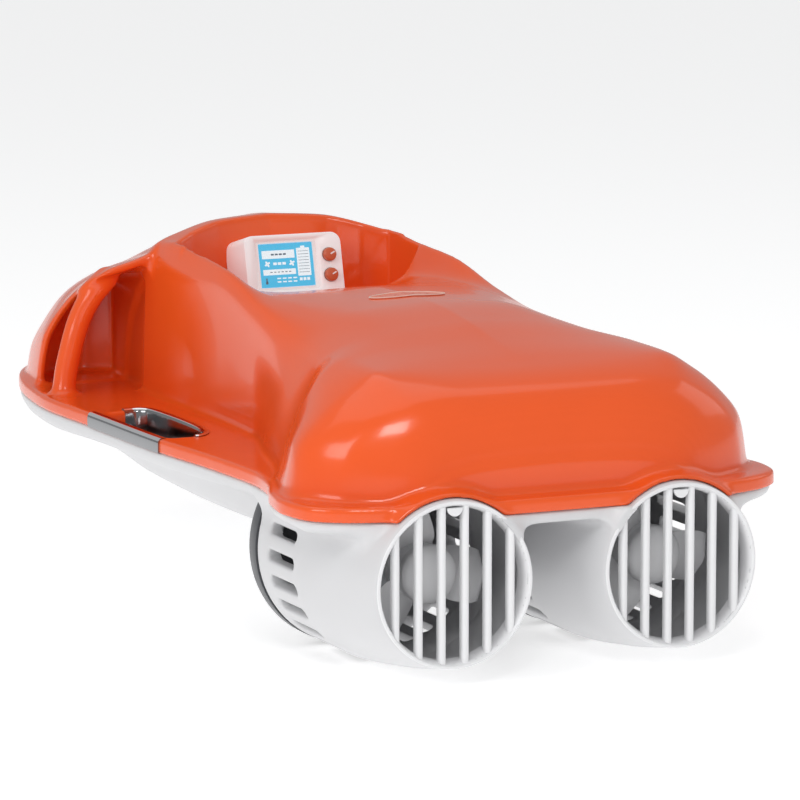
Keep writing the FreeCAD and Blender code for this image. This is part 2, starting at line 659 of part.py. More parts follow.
def handle(name, side):
    """A grip bar with its trigger, the trigger's pin and the switch in the well behind it."""
    half_long, half_wide = size("trigger_length") / 2, size("trigger_width") / 2
    surface = size("grip_radius") + size("trigger_proud")
    back = surface - size("trigger_depth")
    gap, inset = size("trigger_gap"), size("pin_inset")
    pin_at = V(-half_wide - inset / 2, surface - inset, half_long - inset)
    pin = Part.makeCylinder(size("pin_radius"), 2 * half_wide + inset, pin_at, V(1, 0, 0))
    pin_bore = Part.makeCylinder(size("pin_radius") + 0.05, 2 * half_wide + inset, pin_at,
                                 V(1, 0, 0))
    lever = box((-half_wide, back, -half_long), (half_wide, surface + 2, half_long))
    lever = lever.makeFillet(3, [e for e in lever.Edges if e.BoundBox.YMin > surface + 1.9])
    lever = lever.cut(pin_bore)
    floor = back - size("trigger_travel")
    well = box((-half_wide - gap, floor, -half_long - gap - 1),
               (half_wide + gap, surface + 20, half_long + gap + 1))
    switch = box((-3, floor + 0.2, -half_long + 4), (3, floor + 1.6, -half_long + 14))
    frame = trigger_frame(side)
    for shape in (lever, well, pin, switch):
        shape.transformShape(frame)
    bar = grip_solid(side, size("grip_radius")).cut([well, pin]).cut([front_skin, slab])
    feature(name + "_grip_bar", max(bar.Solids, key=lambda solid: solid.Volume))
    feature(name + "_trigger", lever)
    feature(name + "_trigger_pin", pin)
    feature(name + "_trigger_switch", switch)


def carry_liner(name, side):
    """A bright tube lining the carry slot, trimmed to the hull's underside."""
    liner = carry_column(side, size("carry_wall"), size("carry_bottom"), deck_top + 0.6)
    liner = liner.cut(carry_column(side, 0, 0, 300))
    liner = liner.common(hull_outside.fuse(carry_column(side, 6, rim_bottom - 2, 300)))
    feature(name + "_carry_liner", max(liner.Solids, key=lambda solid: solid.Volume))


def rim_trim(name, side):
    """A bright band on the rim's edge beside the carry slot."""
    rear, front, inner, outer = -64, 113, 200, 260
    band = rim_slab(-size("trim_thickness"), rim_bottom + 0.4, deck_top - 4.2)
    band = band.cut(rim_slab(-0.1, 0, 300))
    low, high = sorted((side * inner, side * outer))
    feature(name + "_rim_trim", band.common(box((low, rear, 100), (high, front, 200))))


for name, side in SIDES.items():
    handle(name, side)
    carry_liner(name, side)
    rim_trim(name, side)

print("display", flush=True)


def leaning(label, shape):
    """A sub-part drawn in the display's own frame."""
    return feature(label, shape, display_foot, lean)


half = size("display_width") / 2
tall, deep = size("display_height"), size("display_depth")
thin = size("display_wall")
corner = size("display_corner")
case = box((-half, 0, -10), (half, deep, tall))
case = case.makeFillet(corner, [e for e in case.Edges
                                if e.BoundBox.YLength > deep - 1 and e.BoundBox.ZMin > tall - 1])
case = case.makeFillet(2, [e for e in case.Edges
                           if e.BoundBox.YMax < 0.1 and e.BoundBox.ZMax > 0])
hollow = box((-half + thin, thin, -12), (half - thin, deep - thin, tall - thin))
hollow = hollow.makeFillet(corner - thin, [
    e for e in hollow.Edges if e.BoundBox.YLength > deep - 10 and e.BoundBox.ZMin > tall - 4])
screen_x, screen_z = size("screen_offset"), size("screen_middle")
wide, high = size("screen_width") / 2, size("screen_height") / 2


def screen_box(grow, front, back):
    """A block on the screen's outline, grown by a distance, between two depths."""
    return box((screen_x - wide - grow, front, screen_z - high - grow),
               (screen_x + wide + grow, back, screen_z + high + grow))


KNOB_NAMES = {"upper": 1, "lower": -1}
knob_spots = {name: V(size("knob_offset"), 0, size("knob_middle")
                      + sign * size("knob_spacing") / 2)
              for name, sign in KNOB_NAMES.items()}
case = case.cut([hollow, screen_box(1, -1, 10), screen_box(4, -1, 1.6)])
case = case.cut([Part.makeCylinder(size("spindle_radius") + 0.5, 10, spot - V(0, 5, 0), Y_AXIS)
                 for spot in knob_spots.values()])
leaning("display_housing", case)
leaning("display_lens", screen_box(3.8, 0.2, 1.5))
leaning("lcd_module", screen_box(0.5, 1.7, 9))
leaning("display_board", box((-half + 6, 12, 6), (half - 6, 13.6, tall - 8)))
switches = []
for name, spot in knob_spots.items():
    knob = Part.makeCylinder(size("knob_radius"), 9, spot - V(0, 9.4, 0), Y_AXIS)
    knob = knob.makeFillet(1, [e for e in knob.Edges if e.BoundBox.YMax < -9.3])
    spindle = Part.makeCylinder(size("spindle_radius"), 14, spot - V(0, 6, 0), Y_AXIS)
    leaning(name + "_knob", knob.fuse(spindle).removeSplitter())
    switches.append(box((spot.x - 6, 8.2, spot.z - 6), (spot.x + 6, 11.8, spot.z + 6)))
leaning("rotary_switches", Part.makeCompound(switches))

print("inside", flush=True)
case_y = size("battery_length") / 2
middle = V(0, size("battery_station"), size("battery_base"))
body = body_at("battery_case", y="{battery_station}", z="{battery_base}")
outline = sketch_on(body, "XY_Plane", "battery_outline")
bound_polygon(outline, [("-{battery_width}/2", "-{battery_length}/2"),
                        ("{battery_width}/2", "-{battery_length}/2"),
                        ("{battery_width}/2", "{battery_length}/2"),
                        ("-{battery_width}/2", "{battery_length}/2")])
padded(body, outline, "{battery_height}-{battery_wall}", "battery_block")
hole = sketch_on(body, "XZ_Plane", "battery_hollow")
bound_polygon(hole, [("-{battery_width}/2+{battery_wall}", "{battery_wall}"),
                     ("{battery_width}/2-{battery_wall}", "{battery_wall}"),
                     ("{battery_width}/2-{battery_wall}", "{battery_height}"),
                     ("-{battery_width}/2+{battery_wall}", "{battery_height}")])
pocketed(body, hole, "{battery_length}-2*{battery_wall}", "battery_room", midplane=True)
keep(body, "battery_case")
lid = body_at("battery_lid", y="{battery_station}",
              z="{battery_base}+{battery_height}-{battery_wall}+0.1")
lid_outline = sketch_on(lid, "XY_Plane", "lid_outline")
bound_polygon(lid_outline, [("-{battery_width}/2", "-{battery_length}/2"),
                            ("{battery_width}/2", "-{battery_length}/2"),
                            ("{battery_width}/2", "{battery_length}/2"),
                            ("-{battery_width}/2", "{battery_length}/2")])
padded(lid, lid_outline, "{battery_wall}", "lid_block")
keep(lid, "battery_lid")
cell_radius, cell_length = size("cell_radius"), size("cell_length")
pitch = 2 * cell_radius + 0.6
cells = []
for layer in range(2):
    for row in range(3):
        for column_number in range(11):
            at = middle + V((column_number - 5) * pitch, (row - 1.5) * (cell_length + 2) - 8,
                            cell_radius + 4 + layer * pitch)
            cells.append(Part.makeCylinder(cell_radius, cell_length, at, Y_AXIS))
feature("battery_cells", Part.makeCompound(cells))
feature("battery_board", box((-100, case_y - 24, 10), (100, case_y - 20, 50)), middle)
for name, side in SIDES.items():
    controller = doc.addObject("Part::Box", name + "_motor_controller")
    for key in ("width", "length", "height"):
        prop = {"width": "Length", "length": "Width", "height": "Height"}[key]
        controller.setExpression(prop, ex(f"{{controller_{key}}}"))
    controller.Placement.Base = V(side * 60 - 35, -150, 108)
    keep(controller, name + "_motor_controller")

# ---------------------------------------------------------------- check, write

doc.recompute()
for obj in doc.Objects:
    if any(word in obj.State for word in ("Invalid", "Error")):
        raise RuntimeError(f"{obj.Name} failed: {obj.State}")
for obj in parts:
    if obj.Shape.isNull() or not obj.Shape.isValid():
        raise RuntimeError(f"{obj.Label} has a bad shape")
os.makedirs("parts", exist_ok=True)
for obj in parts:
    obj.Shape.exportStep(f"parts/{obj.Label}.step")
print(len(parts), "sub-parts written")
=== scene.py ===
import json
import math

import bmesh
import bpy
import numpy as np
import openvdb
from mathutils import Matrix, Vector


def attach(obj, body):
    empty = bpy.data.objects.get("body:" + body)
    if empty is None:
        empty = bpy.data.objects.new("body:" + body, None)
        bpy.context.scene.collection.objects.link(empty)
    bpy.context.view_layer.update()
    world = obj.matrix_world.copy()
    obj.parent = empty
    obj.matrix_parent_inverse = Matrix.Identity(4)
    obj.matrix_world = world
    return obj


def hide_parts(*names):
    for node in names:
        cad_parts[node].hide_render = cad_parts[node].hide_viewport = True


# Looks of the underwater scooter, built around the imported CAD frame.
# Shapes are worked out in millimetres and written in metres, +Y to the nose, +Z up.

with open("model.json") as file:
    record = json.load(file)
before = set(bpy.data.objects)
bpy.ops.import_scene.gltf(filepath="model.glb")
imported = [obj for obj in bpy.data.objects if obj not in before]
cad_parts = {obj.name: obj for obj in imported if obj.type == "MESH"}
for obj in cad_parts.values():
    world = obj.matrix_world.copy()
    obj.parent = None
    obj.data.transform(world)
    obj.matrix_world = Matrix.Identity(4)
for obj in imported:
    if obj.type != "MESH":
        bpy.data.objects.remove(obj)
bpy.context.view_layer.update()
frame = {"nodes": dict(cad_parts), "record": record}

MM = 0.001
CELL = 2.2      # spacing of the lattice for moulded shells
REACH = 20.0                           # how far true distances are worked out


# ------------------------------------------------------------------ materials

def node_at(tree, kind, **values):
    """A new node, with values for its inputs or its settings."""
    node = tree.nodes.new(kind)
    for key, value in values.items():
        if key in node.inputs:
            node.inputs[key].default_value = value
        else:
            setattr(node, key, value)
    return node


def new_surface(name):
    """An empty material: itself, its node tree, its shader and its coordinates."""
    material = bpy.data.materials.new(name)
    material.use_nodes = True
    tree = material.node_tree
    tree.nodes.clear()
    out = node_at(tree, "ShaderNodeOutputMaterial")
    shader = node_at(tree, "ShaderNodeBsdfPrincipled")
    tree.links.new(shader.outputs[0], out.inputs[0])
    return material, tree, shader, node_at(tree, "ShaderNodeTexCoord")


def noise(tree, where, scale, detail):
    """A noise texture over the object."""
    texture = node_at(tree, "ShaderNodeTexNoise", Scale=scale, Detail=detail)
    tree.links.new(where.outputs["Object"], texture.inputs["Vector"])
    return texture


def uneven_gloss(tree, shader, texture, low, high):
    """Roughness that a noise texture moves between two values."""
    gloss = node_at(tree, "ShaderNodeMapRange")
    gloss.inputs["To Min"].default_value = low
    gloss.inputs["To Max"].default_value = high
    tree.links.new(texture.outputs["Fac"], gloss.inputs["Value"])
    tree.links.new(gloss.outputs[0], shader.inputs["Roughness"])


def moulded(name, colour, roughness, coat=0.0, peel=0.02, tint=0.04, metallic=0.0,
            spread=0.25, ior=1.5):
    """A moulded or metal surface: slow colour drift, uneven gloss, fine orange-peel."""
    material, tree, shader, where = new_surface(name)
    shader.inputs["Metallic"].default_value = metallic
    shader.inputs["Coat Weight"].default_value = coat
    shader.inputs["Coat Roughness"].default_value = 0.04
    shader.inputs["IOR"].default_value = ior
    drift = noise(tree, where, 7.0, 3.0)
    mix = node_at(tree, "ShaderNodeMix", data_type="RGBA")
    mix.inputs[6].default_value = [c * (1 - tint) for c in colour] + [1]
    mix.inputs[7].default_value = [min(1, c * (1 + tint)) for c in colour] + [1]
    tree.links.new(drift.outputs["Fac"], mix.inputs[0])
    tree.links.new(mix.outputs[2], shader.inputs["Base Color"])
    uneven_gloss(tree, shader, noise(tree, where, 60.0, 4.0),
                 roughness * (1 - spread), roughness * (1 + spread))
    grain = noise(tree, where, 720.0, 2.0)
    bump = node_at(tree, "ShaderNodeBump", Strength=peel, Distance=0.0004)
    tree.links.new(grain.outputs["Fac"], bump.inputs["Height"])
    tree.links.new(bump.outputs[0], shader.inputs["Normal"])
    return material


def node_of(tree, kind):
    """The first node of a kind."""
    return next(node for node in tree.nodes if node.bl_idname == kind)


def brushed(name, colour, roughness, along="X"):
    """Metal with fine lines drawn along one axis."""
    material = moulded(name, colour, roughness, metallic=1.0, peel=0.0, tint=0.03)
    tree = material.node_tree
    grain = [n for n in tree.nodes if n.bl_idname == "ShaderNodeTexNoise"][-1]
    stretch = node_at(tree, "ShaderNodeMapping")
    stretch.inputs["Scale"].default_value = {"X": (0.03, 1, 1), "Y": (1, 0.03, 1)}[along]
    where = node_of(tree, "ShaderNodeTexCoord")
    tree.links.new(where.outputs["Object"], stretch.inputs["Vector"])
    tree.links.new(stretch.outputs[0], grain.inputs["Vector"])
    node_of(tree, "ShaderNodeBump").inputs["Strength"].default_value = 0.12
    return material


def lit(name, colour, strength):
    """A lit part of the screen: dark of itself, with the faint grid of its dots."""
    material, tree, shader, where = new_surface(name)
    shader.inputs["Roughness"].default_value = 0.35
    shader.inputs["Emission Strength"].default_value = strength
    dots = node_at(tree, "ShaderNodeTexBrick", Scale=1500.0)
    dots.offset = 0.0
    dots.inputs["Color1"].default_value = (*colour, 1)
    dots.inputs["Color2"].default_value = (*colour, 1)
    dots.inputs["Mortar"].default_value = (*[c * 0.72 for c in colour], 1)
    dots.inputs["Mortar Size"].default_value = 0.06
    tree.links.new(where.outputs["Object"], dots.inputs["Vector"])
    shader.inputs["Base Color"].default_value = (*[0.2 * c for c in colour], 1)
    tree.links.new(dots.outputs["Color"], shader.inputs["Emission Color"])
    return material


def clear(name):
    """The display's window: clear acrylic that mostly lets light through."""
    material, tree, shader, where = new_surface(name)
    shader.inputs["Base Color"].default_value = (1, 1, 1, 1)
    shader.inputs["Alpha"].default_value = 0.06
    shader.inputs["IOR"].default_value = 1.49
    uneven_gloss(tree, shader, noise(tree, where, 90.0, 3.0), 0.02, 0.08)
    return material


def brightened(material, strength):
    """A material that gives off a little light: an evenly bright floor, or a painted glow on a
    part that is no lamp.
    """
    shader = node_of(material.node_tree, "ShaderNodeBsdfPrincipled")
    shader.inputs["Emission Color"].default_value = (1, 1, 1, 1)
    shader.inputs["Emission Strength"].default_value = strength
    return material


ORANGE = (0.84, 0.100, 0.014)
materials = {
    "orange_shell": moulded("orange_gloss", ORANGE, 0.2, coat=0.2, peel=0.01, ior=1.45),
    "orange_trim": moulded("orange_satin", (0.84, 0.105, 0.016), 0.28, coat=0.25, peel=0.02),
    "white_hull": moulded("white_gloss", (0.66, 0.66, 0.67), 0.3, peel=0.0, tint=0.01, spread=0.1,
                          ior=1.4),
    "white_trim": moulded("white_satin", (0.80, 0.80, 0.81), 0.34, peel=0.02, tint=0.01),
    "light_grey": moulded("pale_nylon", (0.70, 0.70, 0.71), 0.38, peel=0.05, tint=0.02),
    "dark_grey": moulded("dark_nylon", (0.075, 0.078, 0.085), 0.33, peel=0.08),
    "black_rubber": moulded("black_rubber", (0.02, 0.02, 0.021), 0.7, peel=0.25),
    "dark_plastic": moulded("dark_plastic", (0.035, 0.036, 0.04), 0.42, peel=0.15),
    "orange_knob": moulded("knob_orange", (0.62, 0.13, 0.05), 0.35, peel=0.05),
    "board_green": moulded("board_green", (0.02, 0.16, 0.07), 0.45, peel=0.05),
    "steel": brushed("turned_steel", (0.55, 0.55, 0.57), 0.26),
    "grey_metal": brushed("cast_aluminium", (0.5, 0.51, 0.53), 0.38, along="Y"),
    # The chrome's base is darkened: a painted reflection of dark surroundings, seen on the trim's
    # sides.
    "chrome": moulded("chrome_painted_dark_reflection", (0.30, 0.305, 0.315), 0.14, metallic=1.0, peel=0.01,
                      tint=0.02, spread=0.5),
    "clear_lens": clear("clear_window"),
    "screen_blue": lit("screen_cyan", (0.0, 0.50, 0.82), 0.95),
}
screen_white = lit("screen_white", (0.85, 0.95, 1.0), 0.95)
# The case glows faintly: painted light that brightens the display's shaded front.
case_white_painted_glow = brightened(moulded("case_white_painted_glow", (0.90, 0.92, 0.93), 0.3, peel=0.01, tint=0.01), 0.12)
# A bright copy of the chrome: a painted highlight for the trim's upward faces.
chrome_painted_highlight = moulded("chrome_lip_painted_highlight", (0.80, 0.80, 0.82), 0.10, metallic=1.0, peel=0.01)
print_white = moulded("printed_white", (0.9, 0.9, 0.9), 0.4, tint=0.01)
print_dark = moulded("printed_dark", (0.03, 0.12, 0.2), 0.4)
# The oval's raised line is pale: a painted highlight of its edge catching the light.
oval_edge_painted_highlight = moulded("oval_outline", (0.85, 0.62, 0.52), 0.3, tint=0.02)

for entry in frame["record"]["subparts"]:
    obj = frame["nodes"][entry["node"]]
    obj.data.materials.clear()
    obj.data.materials.append(materials[entry["material_slot"]])


# --------------------------------------------------------------- mesh helpers

def finish_piece(obj, material, body, replaced=()):
    """Give a piece its material and body, and hide the CAD nodes it stands for."""
    if not obj.data.materials:
        obj.data.materials.append(material)
    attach(obj, body)
    if replaced:
        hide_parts(*replaced)
    return obj


def linked(name, mesh):
    """A mesh as an object of the scene."""
    obj = bpy.data.objects.new(name, mesh)
    bpy.context.scene.collection.objects.link(obj)
    return obj


def mesh_object(name, points, faces):
    """An object of smooth faces over points in metres."""
    mesh = bpy.data.meshes.new(name)
    mesh.from_pydata([tuple(p) for p in points], [], [tuple(f) for f in faces])
    mesh.update()
    mesh.polygons.foreach_set("use_smooth", [True] * len(mesh.polygons))
    return linked(name, mesh)


def soften(obj, width, segments=3, angle=30):
    """Round an object's edges, keep the flats flat, and apply it."""
    bevel = obj.modifiers.new("edges", "BEVEL")
    bevel.width = width * MM
    bevel.segments = segments
    bevel.limit_method = "ANGLE"
    bevel.angle_limit = math.radians(angle)
    normals = obj.modifiers.new("normals", "WEIGHTED_NORMAL")
    normals.keep_sharp = True
    apply_modifiers(obj)
    return obj


def apply_modifiers(obj):
    """Put the result of an object's modifiers in its mesh."""
    depsgraph = bpy.context.evaluated_depsgraph_get()
    mesh = bpy.data.meshes.new_from_object(obj.evaluated_get(depsgraph))
    old = obj.data
    name = old.name
    obj.modifiers.clear()
    obj.data = mesh
    bpy.data.meshes.remove(old)
    mesh.name = name


def smooth_by_angle(obj, degrees):
    """Smooth faces, with sharp edges where they meet at more than this."""
    obj.data.polygons.foreach_set("use_smooth", [True] * len(obj.data.polygons))
    obj.data.set_sharp_from_angle(angle=math.radians(degrees))


def turned_out(obj, weld=False):
    """Turn every face outward, after welding points that coincide."""
    bm = bmesh.new()
    bm.from_mesh(obj.data)
    if weld:
        bmesh.ops.remove_doubles(bm, verts=bm.verts, dist=1e-6)
    bmesh.ops.recalc_face_normals(bm, faces=bm.faces)
    bm.to_mesh(obj.data)
    bm.free()


def lathe(name, profile, centre, steps=96):
    """A body turned about a line along Y; profile is closed (radius, station) in mm."""
    points, faces = [], []
    count = len(profile)
    for step in range(steps):
        angle = 2 * math.pi * step / steps
        for radius, station in profile:
            points.append(((centre[0] + radius * math.cos(angle)) * MM, station * MM,
                           (centre[1] + radius * math.sin(angle)) * MM))
    for step in range(steps):
        here, there = step * count, ((step + 1) % steps) * count
        for i in range(count):
            j = (i + 1) % count
            if profile[i][0] == 0 and profile[j][0] == 0:
                continue
            faces.append((here + i, here + j, there + j, there + i))
    obj = mesh_object(name, points, faces)
    turned_out(obj, weld=True)
    smooth_by_angle(obj, 30)
    return obj


# ------------------------------------------------------- fields on a lattice
# A moulded shell is the zero surface of a field of distances on a lattice.
# Negative is inside. Fields cover the right half (x >= 0) and are mirrored.

class Lattice:
    """Places CELL apart in a box, with x, y and z shaped to be used together."""

    def __init__(self, low, high):
        self.low = low
        self.axes = [np.arange(a, b + CELL, CELL, dtype=np.float32) for a, b in zip(low, high)]
        self.x = self.axes[0][:, None, None]
        self.y = self.axes[1][None, :, None]
        self.z = self.axes[2][None, None, :]


def join(a, b, blend=0.0):
    """Union, with a fillet about as wide as blend."""
    if blend == 0:
        return np.minimum(a, b)
    overlap = np.maximum(blend - np.abs(a - b), 0) / blend
    return np.minimum(a, b) - overlap * overlap * blend * 0.25


def common(a, b, blend=0.0):
    """What a and b share, with an edge rounded by about blend."""
    return -join(-a, -b, blend)


def cut(a, b, blend=0.0):
    """a with b taken away, with an edge rounded by about blend."""
    return common(a, -b, blend)


def curve_through(points, count):
    """Points along a smooth open line through the given ones (cardinal spline)."""
    points = np.array(points, dtype=float)
    run = np.concatenate([[0], np.cumsum(np.linalg.norm(np.diff(points, axis=0), axis=1) ** 0.7)])
    return cubic(run, points, np.linspace(0, run[-1], count))


def cubic(knots, values, at):
    """Cubic Hermite interpolation that doesn't overshoot its values."""
    knots, values = np.asarray(knots, float), np.asarray(values, float)
    flat = values.ndim == 1
    if flat:
        values = values[:, None]
    gaps = np.diff(knots)[:, None]
    slopes = np.diff(values, axis=0) / gaps
    inner = np.zeros_like(values)
    before, after = slopes[:-1], slopes[1:]
    w1, w2 = 2 * gaps[1:] + gaps[:-1], gaps[1:] + 2 * gaps[:-1]
    same = before * after > 0
    safe_before, safe_after = np.where(same, before, 1), np.where(same, after, 1)
    inner[1:-1] = np.where(same, (w1 + w2) / (w1 / safe_before + w2 / safe_after), 0)
    inner[0], inner[-1] = slopes[0], slopes[-1]
    cell = np.clip(np.searchsorted(knots, at, side="right") - 1, 0, len(gaps) - 1)
    gap = gaps[cell]
    t = ((np.asarray(at) - knots[cell])[:, None]) / gap
    result = ((2 * t ** 3 - 3 * t ** 2 + 1) * values[cell]
              + (t ** 3 - 2 * t ** 2 + t) * gap * inner[cell]
              + (-2 * t ** 3 + 3 * t ** 2) * values[cell + 1]
              + (t ** 3 - t ** 2) * gap * inner[cell + 1])
    return result[:, 0] if flat else result


def polyline_distance(u, v, line):
    """Distance from each point (u, v) to an open line."""
    best = np.full(np.broadcast(u, v).shape, 1e9, dtype=np.float32)
    for (au, av), (bu, bv) in zip(line[:-1], line[1:]):
        du, dv = bu - au, bv - av
        length = max(du * du + dv * dv, 1e-9)
        t = np.clip(((u - au) * du + (v - av) * dv) / length, 0, 1)
        best = np.minimum(best, (u - au - t * du) ** 2 + (v - av - t * dv) ** 2)
    return np.sqrt(best)


def inside_outline(u, v, line):
    """Whether each point (u, v) is inside the line, closed end to start."""
    inside = np.zeros(np.broadcast(u, v).shape, dtype=bool)
    for (au, av), (bu, bv) in zip(line, np.roll(line, -1, axis=0)):
        if av == bv:
            continue
        crosses = (v < av) != (v < bv)
        inside ^= crosses & (u < (bu - au) * (v - av) / (bv - av) + au)
    return inside


def outline_field(u, v, line):
    """Signed distance to a closed outline, negative inside."""
    line = np.asarray(line, dtype=np.float32)
    distance = polyline_distance(u, v, np.vstack([line, line[:1]]))
    return np.where(inside_outline(u, v, line), -distance, distance)


def sections_field(grid, table, shut_at, ends):
    """A volume given by half sections (x, z) at stations along Y.

    shut_at is the height of the flat side, well away from what is used of it.
    ends are the first and last stations of the volume.
    """
    count = 48
    stations = [row[0] for row in table]
    lines = np.array([curve_through(row[1], count) for row in table])
    ys = grid.axes[1]
    at = np.clip(ys, stations[0], stations[-1])
    flat = cubic(stations, lines.reshape(len(table), -1), at)
    lines = flat.reshape(len(ys), count, 2)
    x, z = grid.axes[0][:, None], grid.axes[2][None, :]
    field = np.empty([len(axis) for axis in grid.axes], dtype=np.float32)
    for i, line in enumerate(lines):
        foot = np.array([[line[-1, 0], shut_at]])
        skin = np.vstack([line, foot])
        ring = np.vstack([skin, [[-10, shut_at]], [[-10, line[0, 1]]]])
        distance = polyline_distance(x, z, skin)
        field[:, i, :] = np.where(inside_outline(x, z, ring), -distance, distance)
    outside = np.maximum(ends[0] - grid.y, grid.y - ends[1])
    return np.maximum(field, outside)


def sample(field, places):
    """The field's value at places given in lattice steps."""
    limit = np.array(field.shape) - 1.001
    places = np.clip(places, 0, limit)
    base = places.astype(int)
    t = places - base
    total = 0
    for corner in range(8):
        step = np.array([corner & 1, corner >> 1 & 1, corner >> 2 & 1])
        weight = np.prod(np.where(step, t, 1 - t), axis=1)
        i, j, k = (base + step).T
        total = total + weight * field[i, j, k]
    return total


def gradient(field, places):
    """The field's slope at places given in lattice steps."""
    result = np.empty_like(places)
    for axis in range(3):
        step = np.zeros(3)
        step[axis] = 1
        result[:, axis] = sample(field, places + step) - sample(field, places - step)
    return result / 2


def both_halves(field):
    """The field of the right half with its mirror image before it."""
    return np.concatenate([field[:0:-1], field], axis=0).astype(np.float32)


def skinned(full, reach):
    """Points, triangles and quads of a full field's zero surface, in lattice steps."""
    volume = openvdb.FloatGrid(reach)
    volume.copyFromArray(np.clip(full, -reach, reach))
    return volume.convertToPolygons(isovalue=0.0, adaptivity=0.0)


def true_distance(field):
    """The same half volume, with real distances as far as REACH from its surface."""
    full = both_halves(field)
    points, triangles, quads = skinned(full, 3 * CELL)
    steps = REACH / CELL
    level_set = openvdb.FloatGrid.createLevelSetFromPolygons(
        points, triangles=triangles, quads=quads, halfWidth=steps)
    result = np.full(full.shape, steps, dtype=np.float32)
    level_set.copyToArray(result)
    return result[field.shape[0] - 1:] * CELL


def blurred(field):
    """The field with each value averaged with its neighbours."""
    for axis in range(3):
        padded = np.pad(field, [(1, 1) if a == axis else (0, 0) for a in range(3)], "edge")
        count = field.shape[axis]
        before, after = (padded.take(range(i, i + count), axis) for i in (0, 2))
        field = 0.25 * before + 0.5 * field + 0.25 * after
    return field


def settled(full, places):
    """Places moved onto the field's zero surface, and the slopes there."""
    for _ in range(3):
        slope = gradient(full, places)
        steep = np.maximum((slope ** 2).sum(axis=1), 0.05)
        move = sample(full, places)[:, None] * slope / steep[:, None]
        places = places - np.clip(move, -0.4, 0.4)
    return places, gradient(full, places)


def moulded_shell(name, grid, outside, hollow):
    """A wall: outside with hollow taken away, mirrored, as one mesh.

    Each point takes its place and normal from the field of its own side of the wall,
    which stays smooth where the wall is only a few cells thick.
    """
    reach = 4 * CELL
    outer = np.clip(both_halves(outside), -reach, reach)
    inner = -np.clip(both_halves(hollow), -reach, reach)
    points, triangles, quads = skinned(np.maximum(outer, inner), reach)
    places = points.astype(float)
    normals = np.empty_like(places)
    on_outer = np.abs(sample(outer, places)) < np.abs(sample(inner, places))
    for side, chosen in ((outer, on_outer), (inner, ~on_outer)):
        places[chosen], normals[chosen] = settled(side, places[chosen])
    normals /= np.maximum(np.linalg.norm(normals, axis=1), 1e-6)[:, None]
    first = np.array([-(len(grid.axes[0]) - 1) * CELL, grid.low[1], grid.low[2]])
    world = (places * CELL + first) * MM
    faces = [tuple(f) for f in quads] + [tuple(f) for f in triangles]
    a, b, c = (world[quads[:, i]] for i in range(3))
    if (np.cross(b - a, c - a) * normals[quads[:, 0]]).sum() < 0:
        faces = [f[::-1] for f in faces]
    obj = mesh_object(name, world, faces)
    obj.data.normals_split_custom_set_from_vertices([tuple(n) for n in normals])
    return obj


# ------------------------------------------------------------- shared outlines

# Half of the rim's plan outline, nose to tail: (half breadth, station).
RIM_HALF = [(0, 508), (60, 503), (112, 490), (162, 463), (206, 402), (232, 310),
            (242, 215), (237, 110), (231, -55), (220, -165), (215, -262),
            (223, -318), (242, -372), (249, -415), (243, -452), (212, -481),
            (150, -498), (70, -503), (0, -503)]
NACELLE_X, NACELLE_Z = 116, 98
NACELLE_LINE = [(-508, 78), (-478, 84), (-433, 91), (-360, 98), (-270, 98)]
RIM_BOTTOM, DECK_TOP = 158, 172
SHELL_WALL = 5


def rim_field(grid):
    """Distance in plan to the rim's outline."""
    line = curve_through(RIM_HALF, 150)
    ring = np.vstack([line, line[::-1] * (-1, 1)])
    return outline_field(grid.x[:, :, 0], grid.y[:, :, 0], ring)[:, :, None]


def nacelle_field(grid):
    """Distance to the nacelle's outside, endless at its two ends."""
    stations = [s for s, _ in NACELLE_LINE]
    radii = [r for _, r in NACELLE_LINE]
    ys = np.clip(grid.axes[1], stations[0], stations[-1])
    radius = cubic(stations, radii, ys)[None, :, None]
    return np.sqrt((grid.x - NACELLE_X) ** 2 + (grid.z - NACELLE_Z) ** 2) - radius


# ------------------------------------------------------------------ top shell

COWL = [
    (-484, [(0, 200), (60, 198), (98, 194), (116, 189), (126, 184), (132, 178), (134, 170)]),
    (-480, [(0, 226), (70, 224), (105, 219), (124, 211), (136, 199), (141, 188), (143, 170)]),
    (-472, [(0, 254), (78, 253), (122, 246), (146, 233), (161, 213), (168, 195), (171, 170)]),
    (-448, [(0, 273), (92, 273), (136, 269), (165, 256), (190, 236), (205, 212), (212, 170)]),
    (-403, [(0, 285), (92, 285), (145, 284), (178, 268), (206, 245), (227, 218), (236, 170)]),
    (-337, [(0, 297), (90, 293), (146, 286), (172, 273), (193, 247), (208, 217), (221, 170)]),
    (-280, [(0, 306), (84, 300), (122, 292), (146, 280), (162, 254), (176, 220), (196, 170)]),
    (-193, [(0, 313), (76, 308), (114, 297), (134, 284), (146, 258), (157, 222), (170, 170)]),
    (-78, [(0, 311), (68, 308), (108, 305), (129, 303), (136, 280), (137, 230), (138, 170)]),
    (19, [(0, 297), (60, 297), (102, 303), (124, 324), (132, 303), (134, 235), (135, 170)]),
    (92, [(0, 282), (60, 283), (98, 295), (121, 329), (131, 303), (134, 235), (136, 170)]),
    (157, [(0, 273), (60, 274), (96, 288), (121, 333), (131, 303), (135, 235), (137, 170)]),
    (225, [(0, 270), (60, 271), (96, 286), (121, 322), (131, 296), (134, 235), (136, 170)]),
]
